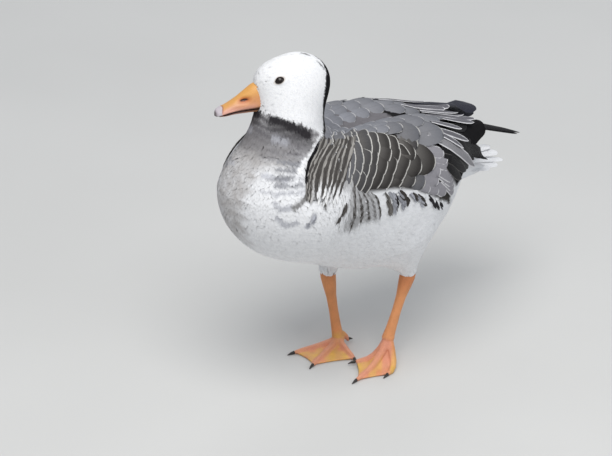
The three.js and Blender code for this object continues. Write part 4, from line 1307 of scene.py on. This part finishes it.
def run_curved(root, middle, tip, shape, level):
    """The middle line of feathers that pass through three places, kept level outside the body."""
    roof = unit(vec(0.25, -0.1, 0.95))
    places, normals = [], []
    for v in shape[0]:
        p = root * (1 - v) * (1 - 2 * v) + middle * 4 * v * (1 - v) + tip * v * (2 * v - 1)
        slope = unit(body_slope(p))
        height = body_form(p)
        short = np.maximum(level * (0.3 + 0.7 * v) - height, 0)
        places.append(p + slope * short[:, None])
        normals.append(unit(lerp(slope, roof, smoothstep(6, 16, height)[:, None])))
    path = []
    for i, (p, normal) in enumerate(zip(places, normals)):
        way = unit(places[min(i + 1, len(places) - 1)] - places[max(i - 1, 0)])
        path.append((p, tangent(normal, way), way))
    return path


def add_long_feathers(name):
    slot, shape, seed, lowest, feathers = LONG_FEATHERS[name]
    rng = np.random.default_rng(seed)
    *places, kinds = zip(*feathers)
    root, middle, tip, width = (np.array(c, float) for c in places)
    count = len(feathers)
    path = run_curved(root, middle, tip, shape, lowest + 0.5 * np.arange(count))
    vane = vanes(path, np.linalg.norm(tip - root, axis=1), width, shape, rng, camber=0.2, roll=1.5)
    ink, rim, rim_width, shaft = columns_of([LONG_LOOKS[kind] for kind in kinds])
    shade = rng.uniform(0.92, 1.08, (count, 1))
    looks = ink * shade, rim, np.stack([rim_width, np.full(count, 0.5), shaft], 1)
    coat_piece(f"{name}_quills", vane, looks, LONG_PLUMAGE, patch=0.05)


def run_free(root, tip, normal, bow, shape):
    """The middle line of feathers in the air, bowed along their normal."""
    path = []
    for v in shape[0]:
        p = lerp(root, tip, v) + normal * (bow * 4 * v * (1 - v))[:, None]
        way = unit(tip - root + normal * (bow * 4 * (1 - 2 * v))[:, None])
        path.append((p, tangent(normal, way), way))
    return path


TAIL_WIDTH, TAIL_COVERT_WIDTH = 17.0, 14.0
COVERTS_IN_RING = 22


def add_tail():
    tip = np.array(TAIL_TIPS)
    count = len(tip)
    i = np.linspace(1, -1, count)
    root = np.stack([i, np.ones(count), np.ones(count)], 1) * TAIL_ROOTS
    root[:, 2] -= 3 * np.abs(i)
    length = np.linalg.norm(tip - root, axis=1)
    normal = unit(np.stack([i * 0.1 + 0.15, np.full(count, 0.2), np.ones(count)], 1))
    path = run_free(root, tip, normal, length * 0.02, SCAPULAR)
    width = np.full(count, TAIL_WIDTH)
    vane = vanes(path, length, width, SCAPULAR, np.random.default_rng(77), camber=0.12, roll=2)
    looks = WHITE, WHITE * 0.9, [0.5, 0.5, 0.1]
    coat_piece("tail_feathers", vane, looks, SLEEK_PLUMAGE, patch=0.05)


def add_tail_coverts():
    """White feathers in rings round the root of the tail, shorter above it."""
    roots, tips, ups = [], [], []
    for ring, (y, reach) in enumerate(TAIL_COVERT_RINGS):
        angle = np.linspace(-180, 180, COVERTS_IN_RING, endpoint=False) + ring * 8
        a = np.radians(angle)
        out = np.stack([np.sin(a), 0 * a, np.cos(a)], 1)
        roots.append(vec(0, y, 188) + out * vec(25 - ring * 3, 0, 17 - ring * 2))
        tip = vec(0, y + reach, 176 - (y - 104) * 0.25) + out * vec(18 - ring * 2, 0, 9 - ring)
        tips.append(tip - (np.abs(angle) < 90)[:, None] * vec(0, 18, -3))
        ups.append(out)
    root, tip, up = (np.concatenate(c) for c in (roots, tips, ups))
    length = np.linalg.norm(tip - root, axis=1)
    path = run_free(root, tip, up, length * 0.05, PLUME)
    width = np.full(len(root), TAIL_COVERT_WIDTH)
    vane = vanes(path, length, width, PLUME, np.random.default_rng(78), camber=0.3, roll=5, notch=0.03)
    looks = WHITE, WHITE, [0.5, 0.6, 0.1]
    coat_piece("tail_coverts", vane, looks, SOFT_PLUMAGE, patch=0.02)


# ---------------------------------------------------------------- bill

# Each station: share of the bill's length, half width, and the heights of its top and bottom edges.
UPPER_BILL = [
    (0.00, 12.5, 13.5, -11.0), (0.16, 12.5, 12.8, -12.2), (0.31, 11.8, 10.6, -12.6), (0.44, 10.6, 5.8, -12.6),
    (0.58, 9.6, 0.4, -12.6), (0.78, 9.2, -6.2, -13.2), (0.92, 8.2, -9.6, -14.6), (0.97, 5.9, -11.3, -15.7),
    (0.99, 3.6, -13.2, -16.4), (1.00, 0.8, -15.4, -16.6),
]
LOWER_BILL = [
    (0.00, 10.8, -13.6, -20.5), (0.16, 10.8, -14.0, -20.0), (0.44, 9.4, -14.0, -18.8),
    (0.70, 8.0, -14.4, -18.2), (0.86, 6.6, -15.9, -18.6), (0.92, 4.2, -16.6, -18.6),
]
UPPER_GRID, LOWER_GRID = (90, 49), (50, 25)        # rings along, and columns across
BILL_BASE, BILL_LENGTH = -24.0, 62.0
NOSTRIL = vec(-54.5, -2.6)             # along the bill and up, in the head's own axes
BILL_ORANGE = tone(230, 168, 88)
BILL_SIDE = tone(222, 156, 106)
BILL_PINK = tone(222, 164, 146)
NAIL = tone(208, 199, 206)
# painted shade in the nail's groove
NAIL_GROOVE_SHADE = tone(150, 90, 80)
NAIL_TIP = tone(70, 50, 48)
# painted shade: deep orange in the nostril's hollow
NOSTRIL_HOLLOW_SHADE = tone(190, 84, 20)
# the gape's own dark, also used as painted shade in the nostril's slit
GAPE_DARK_AND_NOSTRIL_SHADE = tone(60, 26, 20)


def bill_loft(stations, upper, rings, columns):
    """Points of a mandible in the head's axes, as (ring, column), with its share along and height share."""
    t = np.linspace(0, 1, rings)**0.85 * stations[-1][0]
    half, top, bottom = spline(stations, t).T
    a = np.linspace(-math.pi / 2, math.pi / 2, columns)
    across = np.sin(a)
    arch = np.cos(a)**0.86
    base, height = (bottom, top - bottom) if upper else (top, bottom - top)
    x = half[:, None] * across * (1 + 0.05 * (1 - arch))
    z = base[:, None] + height[:, None] * arch
    y = np.broadcast_to((BILL_BASE - BILL_LENGTH * t)[:, None], x.shape)
    return np.stack([x, y, z], -1), t[:, None] * np.ones_like(x), arch * np.ones_like(x)


def closed_shell(points):
    """Faces of a grid of rings whose flat side is closed from edge to edge, with its ends shut."""
    rings, columns = points.shape[:2]
    faces = vane_faces(1, rings, columns)
    r = np.arange(rings - 1) * columns
    flat = np.stack([r, r + columns, r + 2 * columns - 1, r + columns - 1], -1)
    return np.concatenate([faces, flat])


def bill_material():
    n = Nodes("bill")
    grain = n.noise(500, 5, stretch=(1, 1, 2))
    shade = n.math("MULTIPLY_ADD", grain, 0.22, 0.88)
    colour = n.shaded(n.carried("ink"), shade)
    pits = n.noise(2200, 2)
    n.bump(n.math("MULTIPLY_ADD", grain, 0.7, pits), 0.25, 0.0004)
    return n.finish(colour, 0.42, Specular_IOR_Level=0.45)


def nostril_share(y, z, ahead, above, length, height):
    """How far places lie from the nostril's middle, moved and measured in lengths and heights."""
    along = y - NOSTRIL[0] + ahead
    return np.hypot(along / length, (z - NOSTRIL[1] + above) / height)


def upper_bill():
    """The upper mandible's points and colours, with its nostrils, nail and lip, and painted shade in the
    nostrils and in the nail's groove.
    """
    p, t, arch = bill_loft(UPPER_BILL, True, *UPPER_GRID)
    x, y, z = np.moveaxis(p.copy(), -1, 0)
    # The nostril is a slit at the back of a long hollow, below the culmen; both are also darkened with
    # painted shade.
    rise = -0.12 * (y - NOSTRIL[0])
    away = nostril_share(y, z, ahead=0, above=rise, length=9.0, height=4.2)
    slit = nostril_share(y, z, ahead=0, above=rise, length=4.2, height=1.15)
    ridge = nostril_share(y, z, ahead=3, above=5.2, length=11.0, height=2.6)
    inward = 1.5 * smoothstep(1.25, 0.2, away) + 1.5 * smoothstep(1.15, 0.4, slit)
    inward = inward - 0.5 * smoothstep(1.3, 0.2, ridge)
    sides = smoothstep(0.2, 0.55, np.abs(x) / np.maximum(np.abs(x).max(1, keepdims=True), 1))
    p[..., 0] -= np.sign(x) * inward * sides
    # The nail is a shield that ends in a shallow groove, which is also darkened with painted shade.
    nail_edge = 0.855 + 0.035 * (np.abs(p[..., 0]) / 8)**2
    groove = bump(t, nail_edge, 0.022) * smoothstep(0.25, 0.5, arch)
    nail = smoothstep(nail_edge - 0.01, nail_edge + 0.012, t)
    p[..., 2] += 0.5 * nail * arch - 0.7 * groove * arch
    # A lip runs along the cutting edge.
    p[..., 0] += np.sign(p[..., 0]) * 0.55 * bump(arch, 0.16, 0.14) * smoothstep(0.95, 0.7, t)
    ink = laid(BILL_SIDE, BILL_ORANGE, smoothstep(0.35, 0.85, arch))
    ink = laid(ink, BILL_PINK, 0.9 * smoothstep(0.42, 0.8, t) * smoothstep(1.1, 0.3, arch))
    ink = laid(ink, BILL_PINK, 0.8 * smoothstep(0.4, 0.1, arch) * smoothstep(0.2, 0.4, t))
    ink = laid(ink, NAIL, nail)
    # painted shade: the nail's groove, then the nostril's hollow and its slit
    ink = laid(ink, NAIL_GROOVE_SHADE, 0.8 * groove)
    ink = laid(ink, NOSTRIL_HOLLOW_SHADE, 0.75 * smoothstep(1.1, 0.3, away) * sides)
    ink = laid(ink, GAPE_DARK_AND_NOSTRIL_SHADE, smoothstep(1.3, 0.7, slit) * sides)
    ink = laid(ink, GAPE_DARK_AND_NOSTRIL_SHADE, 0.9 * smoothstep(0.06, 0.0, arch))
    return p, laid(ink, NAIL_TIP, 0.85 * smoothstep(0.965, 0.995, t))


def lower_bill():
    p, t, arch = bill_loft(LOWER_BILL, False, *LOWER_GRID)
    p[..., 2] += 0.35 * bump(arch, 0.5, 0.3)
    ink = laid(BILL_SIDE, BILL_PINK, smoothstep(0.2, 0.7, t))
    ink = laid(ink, BILL_ORANGE, 0.6 * smoothstep(0.5, 0.9, arch) * smoothstep(0.5, 0.1, t))
    return p, laid(ink, GAPE_DARK_AND_NOSTRIL_SHADE, 0.95 * smoothstep(0.42, 0.12, arch))


def add_bill():
    material = bill_material()
    top, top_ink = upper_bill()
    under, under_ink = lower_bill()
    for name, node, p, faces, ink in (("bill_top", "bill_upper", top, closed_shell(top)[:, ::-1], top_ink),
                                      ("bill_under", "bill_lower", under, closed_shell(under), under_ink)):
        piece = make_mesh(name, from_head(p.reshape(-1, 3)), faces)
        set_colours(piece, ink=ink.reshape(-1, 3))
        finish_piece(piece, material)
        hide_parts(node)


# ---------------------------------------------------------------- eyes

EYE_HALF = (5.4, 2.8)                  # half the length and height of the opening between the lids
EYE_DEPTH = 4.5                        # how far the ball's middle lies under the face
BALL_GRID = (33, 48)                   # rings, and columns round them
LID_COLUMNS = 64
LID_DARK = tone(70, 60, 58)
LID_PALE = tone(226, 220, 214)
# Rings of the lids: how many times the opening's size, the height over the ball or face, and the colour.
LID_RINGS = [(0.96, -0.5, LID_DARK), (1.0, 0.25, LID_DARK), (1.1, 0.75, LID_PALE), (1.25, 0.8, LID_PALE),
             (1.45, 0.45, WHITE), (1.8, -0.1, WHITE), (2.1, -1.2, WHITE)]


def eye_frame(side):
    """The middle of the eye's opening on the face, with its ways forward, up and out."""
    at, out = settle(from_head(EYE_AT * vec(side, 1, 1))[None], 0.0)
    forward = tangent((HEAD_WAY @ vec(0, -1, -0.26))[None], out)
    up = np.cross(forward, out) * side
    return at[0], forward[0], up[0] * np.sign(up[0][2]), out[0]


def eye_outline(count):
    """An almond that is pointed in front and round behind."""
    a = np.linspace(0, 2 * math.pi, count, endpoint=False)
    front = np.maximum(np.cos(a), 0)
    along = EYE_HALF[0] * np.cos(a)
    height = EYE_HALF[1] * np.sin(a) * (1 - 0.6 * front**1.5)
    height = np.where(np.sin(a) > 0, height * 1.05, height * 0.9)
    return along, height


def on_eye_opening(p, grow):
    """1 within the eye's opening grown by a share."""
    inside = np.zeros(len(p), bool)
    for side in (LEFT, RIGHT):
        at, forward, up, out = eye_frame(side)
        q = p - at
        near = np.hypot(q @ forward / EYE_HALF[0], q @ up / (EYE_HALF[1] * 1.3)) < grow
        inside |= near & (np.abs(q @ out) < 8)
    return inside


def eye_material():
    n = Nodes("eye")
    colour = n.mix(n.noise(900, 3), (0.006, 0.005, 0.005), (0.018, 0.011, 0.008))
    return n.finish(colour, 0.07, Specular_IOR_Level=0.35)


def ring_faces(rings, count, flipped):
    """Faces between closed rings of points."""
    ring = np.arange(rings - 1)[:, None] * count + np.arange(count)
    ahead = np.arange(rings - 1)[:, None] * count + (np.arange(count) + 1) % count
    quads = np.stack([ring, ring + count, ahead + count, ahead], -1).reshape(-1, 4)
    return quads[:, ::-1] if flipped else quads


def eyeball(name, side, centre, axes):
    rings, columns = BALL_GRID
    u, v = np.linspace(0, math.pi, rings), np.linspace(0, 2 * math.pi, columns, endpoint=False)
    around = np.stack([np.outer(np.sin(u), np.cos(v)), np.outer(np.sin(u), np.sin(v)),
                       np.outer(np.cos(u), np.ones(columns))], -1)
    points = centre + EYE_R * (around @ axes)
    return make_mesh(f"eyeball_{name}", points.reshape(-1, 3), ring_faces(rings, columns, side == RIGHT))


def lids(name, side, centre, at, forward, up):
    """Lids that lie on the ball at their edge and pass under the face's feathers."""
    along, height = eye_outline(LID_COLUMNS)
    rings = []
    for grow, rise, _ in LID_RINGS:
        taller = 1 + 1.7 * max(grow - 1, 0)
        flat = at + np.outer(along * grow, forward) + np.outer(height * taller, up)
        on_ball = centre + unit(flat - centre) * (EYE_R + rise * 0.5 + 0.15)
        on_face, _ = settle(flat, rise * 0.6)
        rings.append(lerp(on_ball, on_face, smoothstep(1.0, 1.5, grow)))
    faces = ring_faces(len(rings), LID_COLUMNS, side == LEFT)
    piece = make_mesh(f"lids_{name}", np.concatenate(rings), faces)
    set_colours(piece, ink=np.repeat([ink for _, _, ink in LID_RINGS], LID_COLUMNS, axis=0))
    return piece


def add_eyes():
    ball_material = eye_material()
    skin_material = bare_material("lid", scale=1600, shades=(0.2, 0.88), bump=(0.4, 0.0003),
                                  roughness=0.55, shine=0.35)
    for name, side in SIDES.items():
        at, forward, up, out = eye_frame(side)
        centre = at - out * EYE_DEPTH
        ball = eyeball(name, side, centre, np.stack([forward, up, out]))
        finish_piece(ball, ball_material)
        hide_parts(f"eye_{name}")
        finish_piece(lids(name, side, centre, at, forward, up), skin_material)


# ---------------------------------------------------------------- legs

TOES = ("inner", "middle", "outer", "hind")
LEG_CELL, CLAW_CELL = 0.8, 0.35        # the fineness of their meshes
SHANK_ORANGE = tone(248, 168, 110)
HOCK_ORANGE = tone(232, 148, 94)
TOE_PINK = tone(248, 168, 138)
WEB_ORANGE = tone(250, 190, 114)
WEB_YELLOW = tone(252, 198, 98)
WEB_PINK = tone(252, 170, 120)


def claw_root(toe, name):
    """Where a toe ends and its claw begins, from the frame's own claw, in millimetres."""
    low, high = (np.array(c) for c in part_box(f"claw_{toe}_{name}"))
    return ((low + high) / 2 - ORIGIN) / MM


def places_of(mesh):
    """A mesh's points in the goose's own axes, in millimetres."""
    co = np.empty(len(mesh.vertices) * 3)
    mesh.vertices.foreach_get("co", co)
    return (co.reshape(-1, 3) - ORIGIN) / MM


def remeshed(nodes, cell, passes):
    """Points and faces of an even mesh round some nodes of the frame, smoothed in passes."""
    points, faces, start = [], [], 0
    for node in nodes:
        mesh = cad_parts[node].data.copy()
        mesh.calc_loop_triangles()
        corner = np.empty(len(mesh.loop_triangles) * 3, np.int32)
        mesh.loop_triangles.foreach_get("vertices", corner)
        points.append(places_of(mesh))
        faces.append(corner.reshape(-1, 3) + start)
        start += len(mesh.vertices)
        bpy.data.meshes.remove(mesh)
    whole = make_mesh("remesh", np.concatenate(points), tris=np.concatenate(faces))
    modifier = whole.modifiers.new("even", "REMESH")
    modifier.mode, modifier.voxel_size = "VOXEL", cell * MM
    soften = whole.modifiers.new("soften", "SMOOTH")
    soften.factor, soften.iterations = 0.5, passes
    result = whole.evaluated_get(bpy.context.evaluated_depsgraph_get()).to_mesh()
    places = places_of(result)
    quads = np.array([p.vertices[:] for p in result.polygons if len(p.vertices) == 4])
    mesh = whole.data
    bpy.data.objects.remove(whole)
    bpy.data.meshes.remove(mesh)
    return places, quads


def leg_skin_colour(p):
    """Orange legs with pinker toes and yellower webs."""
    x, y, z = p.T
    web = smoothstep(22, 8, z)
    ink = laid(SHANK_ORANGE, WEB_ORANGE, web)
    patch = np.sin(x * 0.22 + np.sin(y * 0.17)) * np.sin(y * 0.19 + x * 0.08)
    ink = laid(ink, WEB_YELLOW, web * smoothstep(0.1, 0.9, patch))
    ink = laid(ink, WEB_PINK, web * smoothstep(0.1, 0.9, -patch))
    for name, side in SIDES.items():
        start = vec(*FEET[side])
        for toe in TOES:
            end = claw_root(toe, name)
            middle = lerp(start, end, 0.5)
            middle[2] = lerp(start[2], end[2], 0.8)
            d = np.minimum(to_segment(p, start, middle)[0], to_segment(p, middle, end)[0])
            ink = laid(ink, TOE_PINK, 0.85 * smoothstep(6.5, 3.0, d))
    return laid(ink, HOCK_ORANGE, smoothstep(74, 92, z))


def leg_material():
    """Bare skin in small scales, longer across the front of the toes."""
    n = Nodes("leg skin")
    place = n.place(stretch=(1, 1, 1.5))
    cell = n.node("ShaderNodeTexVoronoi", {"Vector": place, "Scale": 620.0}, feature="DISTANCE_TO_EDGE")
    scale = n.step(cell.outputs["Distance"], 0.0, 0.16)
    shade = n.math("MULTIPLY_ADD", n.noise(120, 4), 0.3, 0.80)
    shade = n.math("MULTIPLY", shade, n.math("MULTIPLY_ADD", scale, 0.09, 0.93))
    colour = n.shaded(n.carried("ink"), shade)
    n.bump(n.math("MULTIPLY_ADD", n.noise(1500, 3), 0.25, scale), 0.5, 0.00035)
    return n.finish(colour, 0.48, Specular_IOR_Level=0.4)


def claw_material():
    n = Nodes("claw")
    colour = n.mix(n.noise(600, 4), (0.012, 0.010, 0.009), (0.05, 0.042, 0.038))
    n.bump(n.noise(1400, 3), 0.3, 0.0003)
    return n.finish(colour, 0.32, Specular_IOR_Level=0.5)


def add_claws():
    material = claw_material()
    for name in SIDES:
        nodes = [f"claw_{toe}_{name}" for toe in TOES]
        claws = make_mesh(f"claws_{name}", *remeshed(nodes, CLAW_CELL, 3))
        finish_piece(claws, material)
        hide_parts(*nodes)


def add_skin():
    """One skin: the bare legs and feet, and the down that the feathers grow from."""
    leg_nodes = [f"{part}_{name}" for name in SIDES for part in ("shank", "foot")]
    legs, leg_quads = remeshed(leg_nodes, LEG_CELL, 4)
    points, quads = SKIN
    skin = make_mesh("skin", np.concatenate([points, legs]), np.concatenate([quads, leg_quads + len(points)]))
    set_colours(skin, ink=np.concatenate([coat_colour(points), leg_skin_colour(legs)]))
    down = bare_material("down", scale=700, shades=(0.16, 0.86), bump=(0.6, 0.0008),
                         roughness=0.9, shine=0.05)
    finish_piece(skin, down)
    skin.data.materials.append(leg_material())
    index = np.repeat([0, 1], [len(quads), len(leg_quads)]).astype(np.int32)
    skin.data.polygons.foreach_set("material_index", index)
    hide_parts("trunk", "neck", "head", "wing_left", "wing_right", "thigh_left", "thigh_right",
                "tail", "primaries_left", "primaries_right", "tertials_left", "tertials_right", *leg_nodes)


# ---------------------------------------------------------------- build

add_camera()
add_stage()
SOFT_PLUMAGE = plumage_material("soft plumage", softness=0.85, roughness=0.85, shine=0.05, relief=0.10,
                                blotch=0.05, side_fade=0.05)
SLEEK_PLUMAGE = plumage_material("sleek plumage", softness=0.3, roughness=0.6, shine=0.12, relief=0.4,
                                 blotch=0.16, side_fade=0.14)
LONG_PLUMAGE = plumage_material("long plumage", softness=0.2, roughness=0.5, shine=0.14, relief=0.5,
                                blotch=0.14, side_fade=0.0)

SKIN = surface_net(lambda p: body_form(p) + coat_depth(p), *SKIN_BOX, SKIN_CELL)
add_skin()
add_bill()
add_eyes()
add_claws()
add_contour_coat("coat_head", feathered_head, head_sizes, TUFT, lift=0.1, seed=11, chart=head_chart)
add_contour_coat("coat_body", lambda p: ~on_head(p), body_sizes, CONTOUR, lift=0.3, seed=12, chart=body_chart)
for name, side in SIDES.items():
    add_covert_rows("mantle", name, side, MANTLE_ROWS)
    add_covert_rows("coverts", name, side, COVERT_ROWS)
    add_scapulars(name, side)
    add_secondaries(name, side)
    add_flank_covers(name, side)
    for kind in STRANDS:
        add_strands(kind, name, side)
    add_marks(name, side)
for name in LONG_FEATHERS:
    add_long_feathers(name)
add_tail()
add_tail_coverts()
